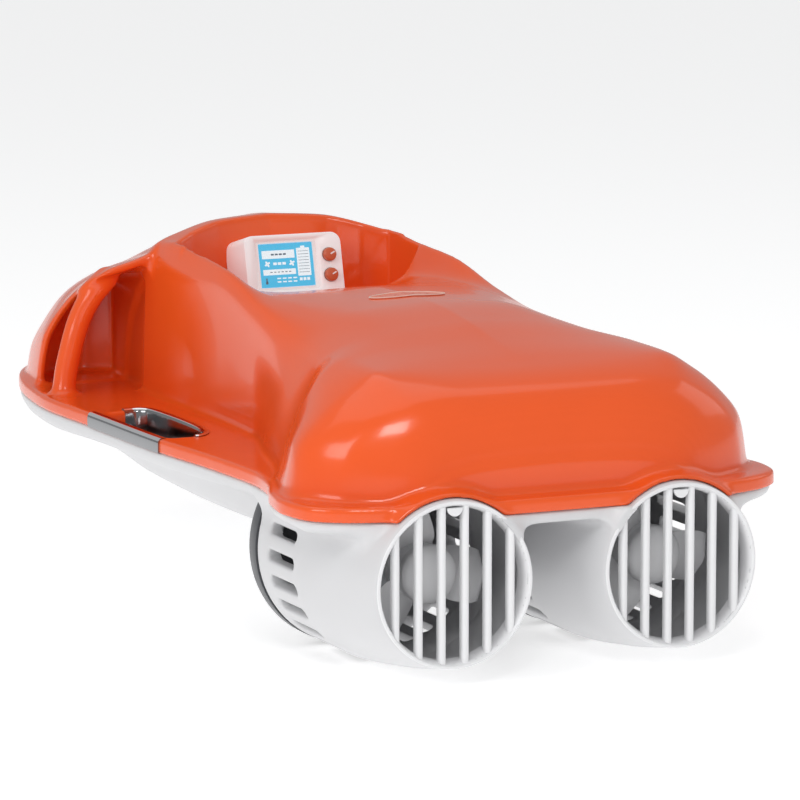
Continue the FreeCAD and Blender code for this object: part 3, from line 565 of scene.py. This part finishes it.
DOME = [
    (140, [(0, 351), (60, 348), (104, 338), (121, 331), (132, 319), (150, 311), (178, 303),
           (207, 281), (225, 235), (231, 170)]),
    (205, [(0, 352), (60, 348), (102, 337), (120, 330), (132, 318), (150, 311), (178, 303),
           (206, 281), (225, 235), (231, 170)]),
    (245, [(0, 348), (50, 342), (92, 326), (112, 315), (128, 307), (150, 300), (178, 291),
           (203, 272), (222, 232), (229, 170)]),
    (292, [(0, 338), (50, 328), (100, 306), (150, 292), (178, 278), (202, 254),
           (219, 220), (225, 170)]),
    (352, [(0, 323), (50, 312), (100, 292), (148, 275), (174, 259), (195, 233),
           (209, 206), (215, 170)]),
    (402, [(0, 303), (48, 294), (96, 276), (137, 256), (161, 238), (180, 217),
           (191, 198), (197, 170)]),
    (448, [(0, 272), (44, 265), (86, 249), (117, 231), (138, 213), (153, 198),
           (162, 187), (167, 170)]),
    (480, [(0, 233), (34, 229), (64, 220), (84, 210), (98, 200), (108, 191),
           (114, 184), (118, 170)]),
    (496, [(0, 200), (22, 198), (40, 194), (52, 190), (61, 186), (67, 182),
           (71, 179), (74, 170)]),
    (503, [(0, 178), (12, 178), (22, 177), (30, 176), (36, 175), (40, 174),
           (43, 172), (45, 170)]),
]
ARCH = [(100, 160), (299, 160), (297, 190), (291, 220), (279, 245), (256, 270),
        (230, 287), (205, 297), (199, 420), (60, 420), (60, 160)]
HOOD_EDGE = [(0, 204), (60, 196), (95, 182), (119, 164), (119, 90), (-20, 90), (-20, 204)]
CAVITY = [(138, 60), (138, 152), (121, 345), (150, 358), (260, 358), (260, 60)]
SLOT_PLAN = [(186, -58), (215, -58), (222, -46), (225, 92), (217, 106), (184, 112),
             (172, 98), (170, -36)]
SHELL_FOOT = 146                       # where the shell's field ends, below its edge
RECESS_FLOOR = 262                     # the deck's height under the hood
HAND_WALL = 8                          # the dome's wall round the hand cavities
COLLAR, COLLAR_START, COLLAR_END = 5, -440, -503.5      # the band over each nacelle


def plan_field(grid, points):
    """Distance in plan to an outline of (x, y)."""
    return outline_field(grid.x[:, :, 0], grid.y[:, :, 0], points)[:, :, None]


def side_field(grid, points):
    """Distance in side view to an outline of (y, z)."""
    return outline_field(grid.y[0], grid.z[0], points)[None]


GRIP_LINE = [(219, 237, 162), (212, 241, 200), (201, 241, 240), (187, 236, 271), (172, 231, 290)]
GRIP_RADIUS = 12


def tube_field(grid, line, radius):
    """Distance to a round bar along a smooth line."""
    path = curve_through(line, 24)
    best = np.full([len(axis) for axis in grid.axes], 99, np.float32)
    low, high = path.min(axis=0) - 3 * radius, path.max(axis=0) + 3 * radius
    span = [slice(*np.searchsorted(axis, (a, b))) for axis, a, b in zip(grid.axes, low, high)]
    x, y, z = grid.x[span[0]], grid.y[:, span[1]], grid.z[:, :, span[2]]
    near = np.full(np.broadcast(x, y, z).shape, 1e9, dtype=np.float32)
    for start, stop in zip(path[:-1], path[1:]):
        run = stop - start
        t = (x - start[0]) * run[0] + (y - start[1]) * run[1] + (z - start[2]) * run[2]
        t = np.clip(t / (run @ run), 0, 1)
        gap = ((x - start[0] - t * run[0]) ** 2 + (y - start[1] - t * run[1]) ** 2
               + (z - start[2] - t * run[2]) ** 2)
        near = np.minimum(near, gap)
    best[tuple(span)] = np.sqrt(near) - radius
    return best


def trigger_well(grid):
    """The groove in the front of a grip bar that its trigger swings back into."""
    forward, radius, pivot_height = 10.5, 6.4, 282
    bar = [place for place in curve_through(GRIP_LINE, 30) if 208 < place[2] < 280]
    well = None
    for lean in (0, 0.056, 0.112):
        line = [(x, y + forward - lean * (pivot_height - z), z) for x, y, z in bar]
        swung = tube_field(grid, line, radius)
        well = swung if well is None else join(well, swung)
    return well


def carry_field(grid, clearance=0.0):
    """The carry slot's opening; its outboard wall slopes inward as it goes down."""
    slope = ((grid.x - 226) + 1.3 * (DECK_TOP - grid.z)) / math.hypot(1, 1.3)
    return common(plan_field(grid, SLOT_PLAN), slope) - clearance


def top_shell():
    """The orange shell: deck, cowl, dome with its hand cavities, hood and grip bars."""
    grid = Lattice((0, -512, 138), (258, 520, 364))
    under = SHELL_FOOT - grid.z
    deck = common(common(rim_field(grid), grid.z - DECK_TOP, 3), under)
    cowl = common(sections_field(grid, COWL, 100, (-484, 225)), under)
    dome = common(sections_field(grid, DOME, 100, (140, 505)), under)
    inside = true_distance(dome) + HAND_WALL
    room = common(common(inside, plan_field(grid, CAVITY), 14), DECK_TOP - grid.z, 8)
    recess = common(plan_field(grid, HOOD_EDGE), 230 - grid.z)
    behind = common(side_field(grid, ARCH), 123 - grid.x, 5)
    front = cut(cut(cut(dome, room, 3), behind, 4), recess, 3)
    solid = join(join(cowl, front, 7), deck, 8)
    solid = cut(solid, common(recess, RECESS_FLOOR - grid.z), 2)
    solid = join(solid, common(tube_field(grid, GRIP_LINE, GRIP_RADIUS), under), 9)
    collar = common(common(nacelle_field(grid) - COLLAR, COLLAR_END - grid.y, 2), under)
    solid = join(solid, common(collar, grid.y - COLLAR_START), 6)
    nacelle = np.maximum(nacelle_field(grid) - 0.3, grid.y + 255)
    well = trigger_well(grid)
    outside = cut(cut(cut(solid, carry_field(grid), 3), nacelle, 1), well, 2)
    outside = common(blurred(outside), RIM_BOTTOM - grid.z, 1)
    hollow = np.maximum(true_distance(solid) + SHELL_WALL, -carry_field(grid, 4))
    hollow = np.maximum(np.maximum(hollow, 4 - nacelle), 2.5 - well)
    obj = moulded_shell("top_shell_skin", grid, outside, hollow)
    return finish_piece(obj, materials["orange_shell"], "hull",
                        ["top_shell", "left_grip_bar", "right_grip_bar"])


# ---------------------------------------------------------------- white hull

HULL = [
    (-498, [(0, 147), (80, 147), (136, 148), (147, 151), (151, 158)]),
    (-472, [(0, 144), (120, 144), (200, 145), (213, 149), (219, 158)]),
    (-440, [(0, 143), (120, 143), (225, 144), (240, 148), (244, 158)]),
    (-380, [(0, 143), (120, 143), (224, 144), (237, 148), (242, 158)]),
    (-300, [(0, 138), (120, 140), (199, 143), (212, 148), (217, 158)]),
    (-245, [(0, 98), (150, 108), (196, 141), (209, 147), (214, 158)]),
    (-190, [(0, 88), (168, 104), (196, 140), (212, 146), (217, 158)]),
    (-60, [(0, 87), (171, 103), (205, 138), (224, 144), (230, 158)]),
    (110, [(0, 89), (164, 104), (208, 137), (230, 143), (236, 158)]),
    (215, [(0, 104), (150, 117), (210, 134), (234, 141), (241, 158)]),
    (310, [(0, 114), (140, 121), (198, 131), (223, 140), (231, 158)]),
    (402, [(0, 122), (118, 127), (174, 134), (196, 141), (205, 158)]),
    (463, [(0, 133), (84, 135), (132, 140), (152, 145), (161, 158)]),
    (497, [(0, 146), (38, 147), (60, 149), (74, 152), (82, 158)]),
]
HULL_TOP = 190                         # how far each section goes on, straight up
HULL_WALL = 9.5
NACELLE_ENDS, BORE_END = (-508, -270), -269
INTAKE_MIDDLE, INTAKE_HALF_LENGTH, INTAKE_HALF_WIDTH = -329, 31, 5.5


def slot_ring(grid):
    """The intake slots, a row of rounded boxes round the nacelle."""
    across, up = grid.x - NACELLE_X, grid.z - NACELLE_Z
    along = np.abs(grid.y - INTAKE_MIDDLE) - INTAKE_HALF_LENGTH
    cuts = np.full([len(axis) for axis in grid.axes], 99, np.float32)
    for step in range(15):
        angle = math.radians(15 - 15 * step)
        out = across * math.cos(angle) + up * math.sin(angle)
        side = np.abs(up * math.cos(angle) - across * math.sin(angle)) - INTAKE_HALF_WIDTH
        hole = common(common(along, side, 6), 60 - out)
        cuts = np.minimum(cuts, hole)
    return cuts


def white_hull():
    """The white hull with its two nacelles, hollow, and their bores and intake slots."""
    grid = Lattice((0, -514, -8), (254, 516, 206))
    rows = [(station, line + [(line[-1][0], HULL_TOP)]) for station, line in HULL]
    pan = common(sections_field(grid, rows, 400, (-500, 500)), grid.z - HULL_TOP)
    inside = true_distance(pan)
    ends = np.maximum(NACELLE_ENDS[0] - grid.y, grid.y - NACELLE_ENDS[1])
    tube = common(nacelle_field(grid), ends, 5)
    outside = join(pan, tube, 22)
    outside = common(outside, join(grid.z - RIM_BOTTOM, tube))
    lip = common(inside + 5.4, grid.z - RIM_BOTTOM - 4)
    outside = blurred(join(outside, lip))
    wall = 5 + 9 * np.clip((grid.y + 400) / 30, 0, 1)      # the bore narrows ahead of the drive
    bore = common(nacelle_field(grid) + wall, grid.y - BORE_END)
    outside = cut(outside, slot_ring(grid), 1.5)
    outside = cut(outside, carry_field(grid, 3), 1)
    hollow = join(common(inside + HULL_WALL, -tube + 0.5), bore)
    hollow = join(hollow, common(bore, grid.y + 500) - 0.2, 2)
    obj = moulded_shell("hull_skin", grid, outside, hollow)
    return finish_piece(obj, materials["white_hull"], "hull",
                        ["bottom_hull", "left_nacelle", "right_nacelle"])


# ------------------------------------------------------------- small makers

def mirrored_piece(obj, name):
    """A copy of a right-hand piece for the left side, turned right side out."""
    mesh = obj.data.copy()
    mesh.name = name
    mesh.transform(Matrix.Scale(-1, 4, (1, 0, 0)))
    mesh.flip_normals()
    return linked(name, mesh)


def joined(name, pieces):
    """Several objects made into one."""
    bm = bmesh.new()
    for piece in pieces:
        bm.from_mesh(piece.data)
        bpy.data.objects.remove(piece)
    mesh = bpy.data.meshes.new(name)
    bm.to_mesh(mesh)
    bm.free()
    return linked(name, mesh)


def loft(name, rings, capped=True):
    """A skin over closed rings of equal counts, its ends closed if capped."""
    count = len(rings[0])
    points = [p for ring in rings for p in ring]
    faces = []
    for i in range(len(rings) - 1):
        for j in range(count):
            k = (j + 1) % count
            faces.append((i * count + j, i * count + k, (i + 1) * count + k, (i + 1) * count + j))
    if capped:
        faces.append(tuple(range(count))[::-1])
        last = (len(rings) - 1) * count
        faces.append(tuple(range(last, last + count)))
    obj = mesh_object(name, [Vector(p) * MM for p in points], faces)
    turned_out(obj)
    return obj


def plan_sweep(name, path, profile):
    """A profile of (outward, height) carried along a plan path of (x, y)."""
    path = np.asarray(path, float)
    run = np.gradient(path, axis=0)
    run /= np.linalg.norm(run, axis=1)[:, None]
    outward = np.stack([run[:, 1], -run[:, 0]], axis=1)
    rings = [[(p[0] + n[0] * out, p[1] + n[1] * out, up) for out, up in profile]
             for p, n in zip(path, outward)]
    obj = loft(name, rings)
    smooth_by_angle(obj, 40)
    return obj


def rounded_outline(low, high, radii, steps=6):
    """A rectangle with a radius for each corner, from the lower left, anticlockwise."""
    corners = [((low[0], low[1]), 180), ((high[0], low[1]), 270), ((high[0], high[1]), 0),
               ((low[0], high[1]), 90)]
    points = []
    for ((u, v), first), radius in zip(corners, radii):
        cu = u + radius if u == low[0] else u - radius
        cv = v + radius if v == low[1] else v - radius
        for step in range(steps + 1):
            angle = math.radians(first + 90 * step / steps)
            points.append((cu + radius * math.cos(angle), cv + radius * math.sin(angle)))
    return points


def plate(name, outline, front, back, back_outline=None):
    """A plate on an outline of (x, z), from one depth along Y to another."""
    far = back_outline or outline
    obj = loft(name, [[(x, front, z) for x, z in outline], [(x, back, z) for x, z in far]])
    smooth_by_angle(obj, 40)
    return obj


def carved(obj, cutters):
    """An object with others cut out of it."""
    for cutter in cutters:
        modifier = obj.modifiers.new("cut", "BOOLEAN")
        modifier.operation = "DIFFERENCE"
        modifier.solver = "EXACT"
        modifier.object = cutter
    apply_modifiers(obj)
    for cutter in cutters:
        bpy.data.objects.remove(cutter)
    smooth_by_angle(obj, 35)
    return obj


# ------------------------------------------------------- outlets and drives

OUTLET, HUB_FACE, HUB_MIDDLE = -508, -442, -424.8
DRIVE_AXIS = (NACELLE_X, NACELLE_Z)
BARS, BAR_PITCH, BAR_HALF, BAR_REACH = 6, 23.2, 3.6, 74.3
BLADE_ROOT, BLADE_LENGTH, BLADE_HALF_WIDTH = 16, 50.5, 27


def turned(u, v, degrees):
    """A point turned about the origin."""
    c, s = math.cos(math.radians(degrees)), math.sin(math.radians(degrees))
    return u * c - v * s, u * s + v * c


def outlet_grille():
    """Ring, six round-fronted upright bars and the small tab at the top."""
    front = OUTLET - 0.5
    ring = lathe("ring", [(74.5, OUTLET + 18), (74.5, OUTLET + 2), (78, OUTLET + 0.6),
                          (78.4, OUTLET - 0.4), (77.6, OUTLET - 1.6), (75.8, OUTLET - 1.7),
                          (74.6, OUTLET - 0.6), (71.8, OUTLET + 8), (71.8, OUTLET + 18)],
                 DRIVE_AXIS)
    pieces = [ring]
    round_front = [turned(BAR_HALF, 0, a) for a in range(0, 181, 20)]
    section = [(u, 4 - v) for u, v in round_front] + [(-3.2, 9), (3.2, 9)]
    for step in range(BARS):
        across = (step - (BARS - 1) / 2) * BAR_PITCH
        rings = [[(NACELLE_X + across + u, front + v,
                   NACELLE_Z + end * math.sqrt(BAR_REACH ** 2 - (across + u) ** 2))
                  for u, v in section] for end in (-1, 1)]
        bar = loft("bar", rings)
        smooth_by_angle(bar, 50)
        pieces.append(bar)
    half_disc = [(NACELLE_X + 7.5 * u, NACELLE_Z + 72 - 8 * v)
                 for u, v in (turned(1, 0, a) for a in range(0, 181, 15))]
    tab = soften(plate("tab", half_disc, front - 0.5, front + 4), 0.8)
    pieces.append(tab)
    return joined("right_grille_bars", pieces)


def blade(angle):
    """One paddle: broad and round-tipped, cambered, its pitch easing towards the tip."""
    stations, chords = 15, 13
    chord = [2 * j / (chords - 1) - 1 for j in range(chords)]
    rings = []
    for i in range(stations):
        share = i / (stations - 1)
        out = BLADE_ROOT + BLADE_LENGTH * share
        width = BLADE_HALF_WIDTH * (1 - (abs(share - 0.55) / 0.62) ** 3.2) ** 0.5
        if i == 0:
            width = 15
        if i == stations - 1:
            width = 11
        pitch = math.radians(30 - 14 * share)
        ring = []
        for face, t in [(1, t) for t in chord] + [(-1, t) for t in chord[::-1]]:
            thick = (2.6 - 1.3 * share) * math.sqrt(max(1 - t * t, 0)) + 0.15
            along, height = t * width, 3.0 * (1 - t * t) + face * thick
            tangent = along * math.cos(pitch) - height * math.sin(pitch)
            axial = -along * math.sin(pitch) - height * math.cos(pitch)
            x, z = turned(out, tangent, angle)
            ring.append((NACELLE_X + x, HUB_MIDDLE + axial, NACELLE_Z + z))
        rings.append(ring)
    obj = loft("blade", rings)
    smooth_by_angle(obj, 60)
    return obj


def propeller(angles):
    """Hub and three blades at these angles, for a drive on the right."""
    hub = lathe("hub", [(5, -408), (25.5, -408), (27, -410), (27, -441), (5, -441)], DRIVE_AXIS)
    return joined("right_propeller_blades", [hub] + [blade(angle) for angle in angles])


def spinner():
    """The domed cone behind the hub."""
    radius, barrel, bulge = 28, 8, 10
    dome = [(0, HUB_FACE - barrel - bulge)]
    dome += [(radius * v, HUB_FACE - barrel - bulge * u)
             for u, v in (turned(1, 0, a) for a in range(12, 91, 6))]
    dome += [(radius, HUB_FACE - 0.5), (radius - 0.8, HUB_FACE), (0, HUB_FACE)]
    return lathe("right_spinner_cone", dome, DRIVE_AXIS)


def nose_cap():
    """The blunt fairing inside the nose ring."""
    face = [(85.6, -272.5), (85.6, -256), (84, -253.4)]
    face += [(84 * u, -253.4 + 10.8 * v) for u, v in (turned(1, 0, a) for a in range(10, 90, 8))]
    return lathe("right_nose_fairing", face + [(0, -242.6), (0, -272.5)], DRIVE_AXIS)


def nose_ring():
    """The dark ring round the nacelle's nose, with a rounded edge."""
    profile = [(86.2, -269.7), (98.4, -269.7), (98.6, -268.8), (98.6, -256), (98, -253.6),
               (96, -252.2), (93, -251.9), (88, -251.9), (86.4, -252.6)]
    return lathe("right_nose_band", profile, DRIVE_AXIS)


# --------------------------------------------------------------- deck fittings

def rim_stretch(rear, front, count):
    """Points of the rim's outline between two stations, from the rear."""
    line = curve_through(RIM_HALF, 900)
    order = line[(line[:, 1] >= rear) & (line[:, 1] <= front)]
    return order[np.linspace(0, len(order) - 1, count).astype(int)][::-1]


def chrome_painted_light(obj):
    """Chrome with painted light: faces turned upward take a bright copy as a painted highlight,
    and the sides a dark copy as a painted reflection of shade.
    """
    obj.data.materials.append(materials["chrome"])
    obj.data.materials.append(chrome_painted_highlight)
    for polygon in obj.data.polygons:
        # Upward faces bright, the rest dark: painted highlight and painted reflection of shade.
        polygon.material_index = 1 if polygon.normal.z > 0.35 else 0
    return obj


def rim_trim():
    """The bright band that wraps the rim's edge beside the carry slot."""
    profile = [(0.2, 157.8), (1.1, 158.1), (1.5, 160), (1.5, 167.5), (1.0, 170.2), (-0.4, 172.2),
               (-2.6, 173.1), (-6.5, 173.2), (-7.2, 172.6), (-7.0, 171.2), (-2.5, 170.8),
               (-0.6, 168), (-0.4, 158)]
    return chrome_painted_light(plan_sweep("right_rim_band", rim_stretch(-64, 113, 40), profile))


def corners_cut(points, times):
    """A path with its corners cut off again and again, so that it runs smoothly."""
    for _ in range(times):
        shorter = [points[0]]
        for (u, v), (p, q) in zip(points[:-1], points[1:]):
            shorter += [(0.75 * u + 0.25 * p, 0.75 * v + 0.25 * q),
                        (0.25 * u + 0.75 * p, 0.25 * v + 0.75 * q)]
        points = shorter + [points[-1]]
    return points


def carry_lining():
    """The bright wall of the carry slot, with a rolled lip inboard, before and behind."""
    corners = [(199, 109.3), (184, 112), (172, 98), (170, -36), (186, -58), (192, -58)]
    lip = [(-0.4, 136), (-0.4, 169.5), (0.6, 172.4), (2.6, 173.8), (5.6, 173.9), (7, 172.8),
           (4.6, 171.2), (2.8, 168), (2.8, 136)]
    path = corners_cut(corners, 4)[::-1]
    return chrome_painted_light(plan_sweep("right_slot_lining", path, [(-out, up) for out, up in lip]))


def height_on(obj, x, y):
    """How high an object's top is at a place, in millimetres."""
    hit, place, _, _ = obj.ray_cast(Vector((x * MM, y * MM, 1)), Vector((0, 0, -1)))
    return place.z / MM if hit else None


def oval_badge(shell):
    """The blank oval plate on the deck and the fine raised line round it."""
    steps, station, half_long, half_wide = 72, -144, 40, 14
    rings = []
    for share, lift in ((1.0, -1.5), (0.97, 0.9), (0.55, 0.9), (0.02, 0.9)):
        ring = []
        for step in range(steps):
            angle = 2 * math.pi * step / steps
            x = half_long * share * math.cos(angle)
            y = station + half_wide * share * math.sin(angle)
            ring.append((x, y, height_on(shell, x, y) + lift))
        rings.append(ring)
    badge = loft("oval_badge", rings)
    smooth_by_angle(badge, 40)
    edge = rings[1]
    line = []
    for step in range(steps + 1):
        angle = 2 * math.pi * step / steps
        out = (half_long * math.cos(angle), half_wide * math.sin(angle))
        section = []
        for turn in range(0, 360, 60):
            wider, higher = turned(1, 0, turn)
            grow = 1 + 0.75 * wider / math.hypot(*out)
            section.append((out[0] * grow, station + out[1] * grow,
                            edge[step % steps][2] + 0.1 + 0.6 * higher))
        line.append(section)
    return badge, loft("oval_outline", line, capped=False)


def trigger_lever():
    """The trigger: a rounded strip let into the front of the grip bar."""
    path = curve_through(GRIP_LINE, 60)
    path = path[(path[:, 2] > 213) & (path[:, 2] < 275)]
    rings = []
    for i, place in enumerate(path):
        along = path[min(i + 1, len(path) - 1)] - path[max(i - 1, 0)]
        along /= np.linalg.norm(along)
        forward = np.array([0, 1, 0]) - along * along[1]
        forward /= np.linalg.norm(forward)
        across = np.cross(along, forward)
        end = min(i, len(path) - 1 - i)
        full = min(1, math.sqrt(max(0, 1 - (1 - min(end, 3) / 3) ** 2)) * 0.55 + 0.45)
        outline = rounded_outline((-4.8, 6.5), (4.8, 6.5 + 7.5 * full), (1, 1, 3, 3), 4)
        rings.append([tuple(place + across * u * (0.75 + 0.25 * full) + forward * v)
                      for u, v in outline])
    obj = loft("right_trigger_lever", rings)
    smooth_by_angle(obj, 50)
    return obj


# --------------------------------------------------------------------- display

DISPLAY = Matrix.Translation((0, 134 * MM, 264 * MM)) @ Matrix.Rotation(math.radians(-14), 4, "X")
SCREEN_LOW, SCREEN_HIGH = (-34.75, 21.25), (24.75, 65.75)
GLASS_DEPTH = 2.2
KNOB_X, KNOBS_Z, KNOB_HALF_PITCH = 42, 41, 10.5


def stood(obj):
    """Put a piece drawn in the display's own frame where the display stands."""
    obj.data.transform(DISPLAY)
    return obj


def round_screen(left, below, right, above, radius):
    """An outline round the screen, this far outside it on each side."""
    return rounded_outline((SCREEN_LOW[0] - left, SCREEN_LOW[1] - below),
                           (SCREEN_HIGH[0] + right, SCREEN_HIGH[1] + above), (radius,) * 4)


def display_housing():
    """The case, with the screen's bevelled frame and the knobs' sockets cut into it."""
    outline = rounded_outline((-51, -9.5), (56.5, 75), (0.5, 0.5, 11, 9), 10)
    body = soften(plate("display_case", outline, 0, 52), 2.2, 4, 50)
    frame_cut = plate("frame_cut", round_screen(7, 6, 6.5, 5, 3), -1, 1.6,
                      round_screen(4.8, 4.2, 4.5, 3.6, 2))
    window_cut = plate("window_cut", round_screen(0.6, 0.6, 0.6, 0.6, 0.8), -1, 9)
    sockets = [knob_turned("socket", [(0, -1), (7.7, -1), (7.7, 1), (0, 1)], up)
               for up in (-1, 1)]
    return stood(carved(body, [frame_cut, window_cut] + sockets))


def knob_turned(name, profile, up):
    """A body turned about a knob's axis, drawn in the display's frame."""
    return lathe(name, profile, (KNOB_X, KNOBS_Z + KNOB_HALF_PITCH * up), 48)


def knob(name, up):
    """A knob with a pale tick on its face; up is 1 for the upper one and -1 for the lower."""
    cap = knob_turned(name, [(0, -5.6), (5.6, -5.5), (6.6, -5), (6.9, -4.2), (7.0, 0.4), (3, 0.4),
                             (3, 0.9), (0, 0.9)], up)
    tick = soften(plate("tick", rounded_outline((-0.2, -0.75), (5.2, 0.75), (0.7,) * 4, 4),
                        -6.0, -5.3), 0.15)
    tick.data.transform(Matrix.Rotation(math.radians(-28), 4, "Y"))
    tick.data.transform(Matrix.Translation((KNOB_X * MM, 0,
                                            (KNOBS_Z + KNOB_HALF_PITCH * up) * MM)))
    caps = len(cap.data.polygons)
    whole = joined(name + "_dial", [cap, tick])
    whole.data.materials.append(materials["orange_knob"])
    whole.data.materials.append(print_white)
    for polygon in whole.data.polygons:
        polygon.material_index = 0 if polygon.index < caps else 1
    smooth_by_angle(whole, 35)
    return stood(whole)


def on_screen(across, down):
    """The place at these shares of the screen's width and height, from its upper left."""
    return (SCREEN_LOW[0] + across * (SCREEN_HIGH[0] - SCREEN_LOW[0]),
            SCREEN_HIGH[1] - down * (SCREEN_HIGH[1] - SCREEN_LOW[1]))


def mark(across, down, depth=0.12, corner=0.4):
    """A raised mark on the screen, between two shares across and two shares down."""
    left, low = on_screen(across[0], down[1])
    right, top = on_screen(across[1], down[0])
    outline = rounded_outline((left, low), (right, top), (corner,) * 4, 3)
    return plate("mark", outline, GLASS_DEPTH - depth, GLASS_DEPTH + 0.2)


def dashes(count, start, pitch, width, down, depth=0.12, corner=0.3):
    """A row of marks of one width, a pitch apart."""
    return [mark((start + pitch * i, start + width + pitch * i), down, depth, corner)
            for i in range(count)]


def fan_icon(across, down):
    """A fan of four round petals."""
    cx, cz = on_screen(across, down)
    petals = []
    for quarter in range(4):
        outline = []
        for step in range(14):
            angle = 2 * math.pi * step / 14
            u, v = turned(1.75 + 1.6 * math.cos(angle), 0.35 + 1.05 * math.sin(angle),
                          90 * quarter + 20)
            outline.append((cx + u, cz + v))
        petals.append(plate("petal", outline, GLASS_DEPTH - 0.12, GLASS_DEPTH + 0.2))
    return petals


def screen():
    """The lit panel and its generic marks: panels, fans, a gauge, and dashes for words."""
    back = plate("screen_glow", rounded_outline(SCREEN_LOW, SCREEN_HIGH, (0.6,) * 4, 3),
                 GLASS_DEPTH, 8.5)
    white = [mark((0.05, 0.66), (0.15, 0.34)), mark((0.05, 0.66), (0.59, 0.72)),
             mark((0.70, 0.945), (0.12, 0.77), corner=0.8), mark((0.78, 0.86), (0.075, 0.13))]
    white += fan_icon(0.14, 0.46) + fan_icon(0.60, 0.46)
    white += dashes(3, 0.25, 0.085, 0.065, (0.43, 0.49))
    white += dashes(3, 0.72, 0.07, 0.05, (0.81, 0.88), corner=0.2)
    for down in (0.79, 0.87):
        white += dashes(4, 0.30, 0.10, 0.07, (down, down + 0.03), corner=0.15)
    dark = dashes(4, 0.22, 0.075, 0.055, (0.225, 0.265), 0.2, 0.15)
    dark += dashes(6, 0.18, 0.07, 0.04, (0.645, 0.665), 0.2, 0.1)
    dark += [mark((0.725, 0.92), (0.19 + 0.07 * i, 0.20 + 0.07 * i), 0.2, 0.1)
             for i in range(8)]
    dark += [mark((0.09, 0.115), (0.79, 0.90), 0.2, 0.3),
             mark((0.08, 0.125), (0.87, 0.93), 0.2, 0.9)]
    return (stood(back), stood(joined("screen_marks_white", white)),
            stood(joined("screen_marks_dark", dark)))


def lens():
    """The clear window over the screen."""
    outline = round_screen(4.4, 3.9, 4.1, 3.3, 2)
    return stood(soften(plate("display_window", outline, 0.9, 1.55), 0.15, 2))


# ------------------------------------------------------------------- assembly

top = top_shell()
white_hull()

# Right-hand pieces to be mirrored: maker, material, body and the CAD node each stands for.
PAIRS = [
    (outlet_grille, "white_trim", "hull", "outlet_grille"),
    (spinner, "light_grey", "drive", "spinner"),
    (nose_cap, "dark_grey", "hull", "nose_cap"),
    (nose_ring, "dark_grey", "hull", "nose_ring"),
    (rim_trim, "chrome", "hull", "rim_trim"),
    (carry_lining, "chrome", "hull", "carry_liner"),
    (trigger_lever, "dark_grey", "trigger", "trigger"),
]
for make, slot, body, node in PAIRS:
    right = make()
    left = mirrored_piece(right, right.name.replace("right_", "left_"))
    for side, piece in (("right", right), ("left", left)):
        rides = body if body == "hull" else f"{side}_{body}"
        finish_piece(piece, materials[slot], rides, [f"{side}_{node}"])

# Seen from behind, both propellers start at the same angles, but they lean opposite ways.
right_blades = propeller((-10, 110, 230))
left_start = propeller((190, 70, 310))
left_blades = mirrored_piece(left_start, "left_propeller_blades")
bpy.data.objects.remove(left_start)
for side, piece in (("right", right_blades), ("left", left_blades)):
    finish_piece(piece, materials["white_trim"], f"{side}_drive",
                 [f"{side}_propeller"])

badge, border = oval_badge(top)
finish_piece(badge, materials["orange_trim"], "hull", ["oval_plate"])
finish_piece(border, oval_edge_painted_highlight, "hull")
finish_piece(display_housing(), case_white_painted_glow, "hull", ["display_housing"])
finish_piece(lens(), materials["clear_lens"], "hull", ["display_lens"])
glow, bright, dim = screen()
finish_piece(glow, materials["screen_blue"], "hull", ["lcd_module"])
finish_piece(bright, screen_white, "hull")
finish_piece(dim, print_dark, "hull")
for name, up in (("upper_knob", 1), ("lower_knob", -1)):
    finish_piece(knob(name, up), materials["orange_knob"], name, [name])


# ---------------------------------------------------------- floor, light, view

def stage():
    """The pale floor, the even surroundings and the softboxes."""
    bpy.ops.mesh.primitive_plane_add(size=30, location=(0, 0, 0))
    floor = bpy.context.object
    floor.name = "floor"
    paper = moulded("pale_floor", (0.78, 0.78, 0.78), 0.6, tint=0.0)
    floor.data.materials.append(brightened(paper, 0.5))
    world = bpy.data.worlds.new("studio")
    world.use_nodes = True
    background = world.node_tree.nodes["Background"]
    background.inputs["Color"].default_value = (0.98, 0.99, 1.0, 1)
    background.inputs["Strength"].default_value = 0.45
    bpy.context.scene.world = world
    softboxes = [                      # name, place, what it faces, size, power
        ("overhead", (-0.2, 0.3, 3.2), (0.0, 0.0, 0.0), 3.2, 22),
        ("left", (-3.3, -1.5, 1.9), (0.0, 0.0, 0.2), 1.7, 36),
        ("right", (3.2, -0.6, 1.8), (0.0, 0.0, 0.2), 1.8, 10),
        ("panel_fill", (-0.5, -1.5, 1.1), (0.0, 0.13, 0.3), 0.4, 5),
    ]
    for name, place, target, size, power in softboxes:
        data = bpy.data.lights.new(name, "AREA")
        data.shape = "SQUARE"
        data.size = size
        data.energy = power
        lamp = bpy.data.objects.new(name, data)
        lamp.location = place
        aim = Vector(target) - Vector(place)
        lamp.rotation_euler = aim.to_track_quat("-Z", "Y").to_euler()
        bpy.context.scene.collection.objects.link(lamp)


def camera():
    """A long lens behind the scooter, to its left and a little above it."""
    data = bpy.data.cameras.new("camera")
    data.lens = 234
    data.sensor_width = 36
    data.clip_end = 60
    eye = bpy.data.objects.new("camera", data)
    eye.location = (-2.0725, -4.7427, 1.0328)
    azimuth, elevation = math.radians(24.18), math.radians(9.29)
    eye.rotation_euler = (math.pi / 2 - elevation, 0, -azimuth)
    bpy.context.scene.collection.objects.link(eye)
    bpy.context.scene.camera = eye


stage()
camera()
bpy.context.scene.view_settings.view_transform = "Standard"
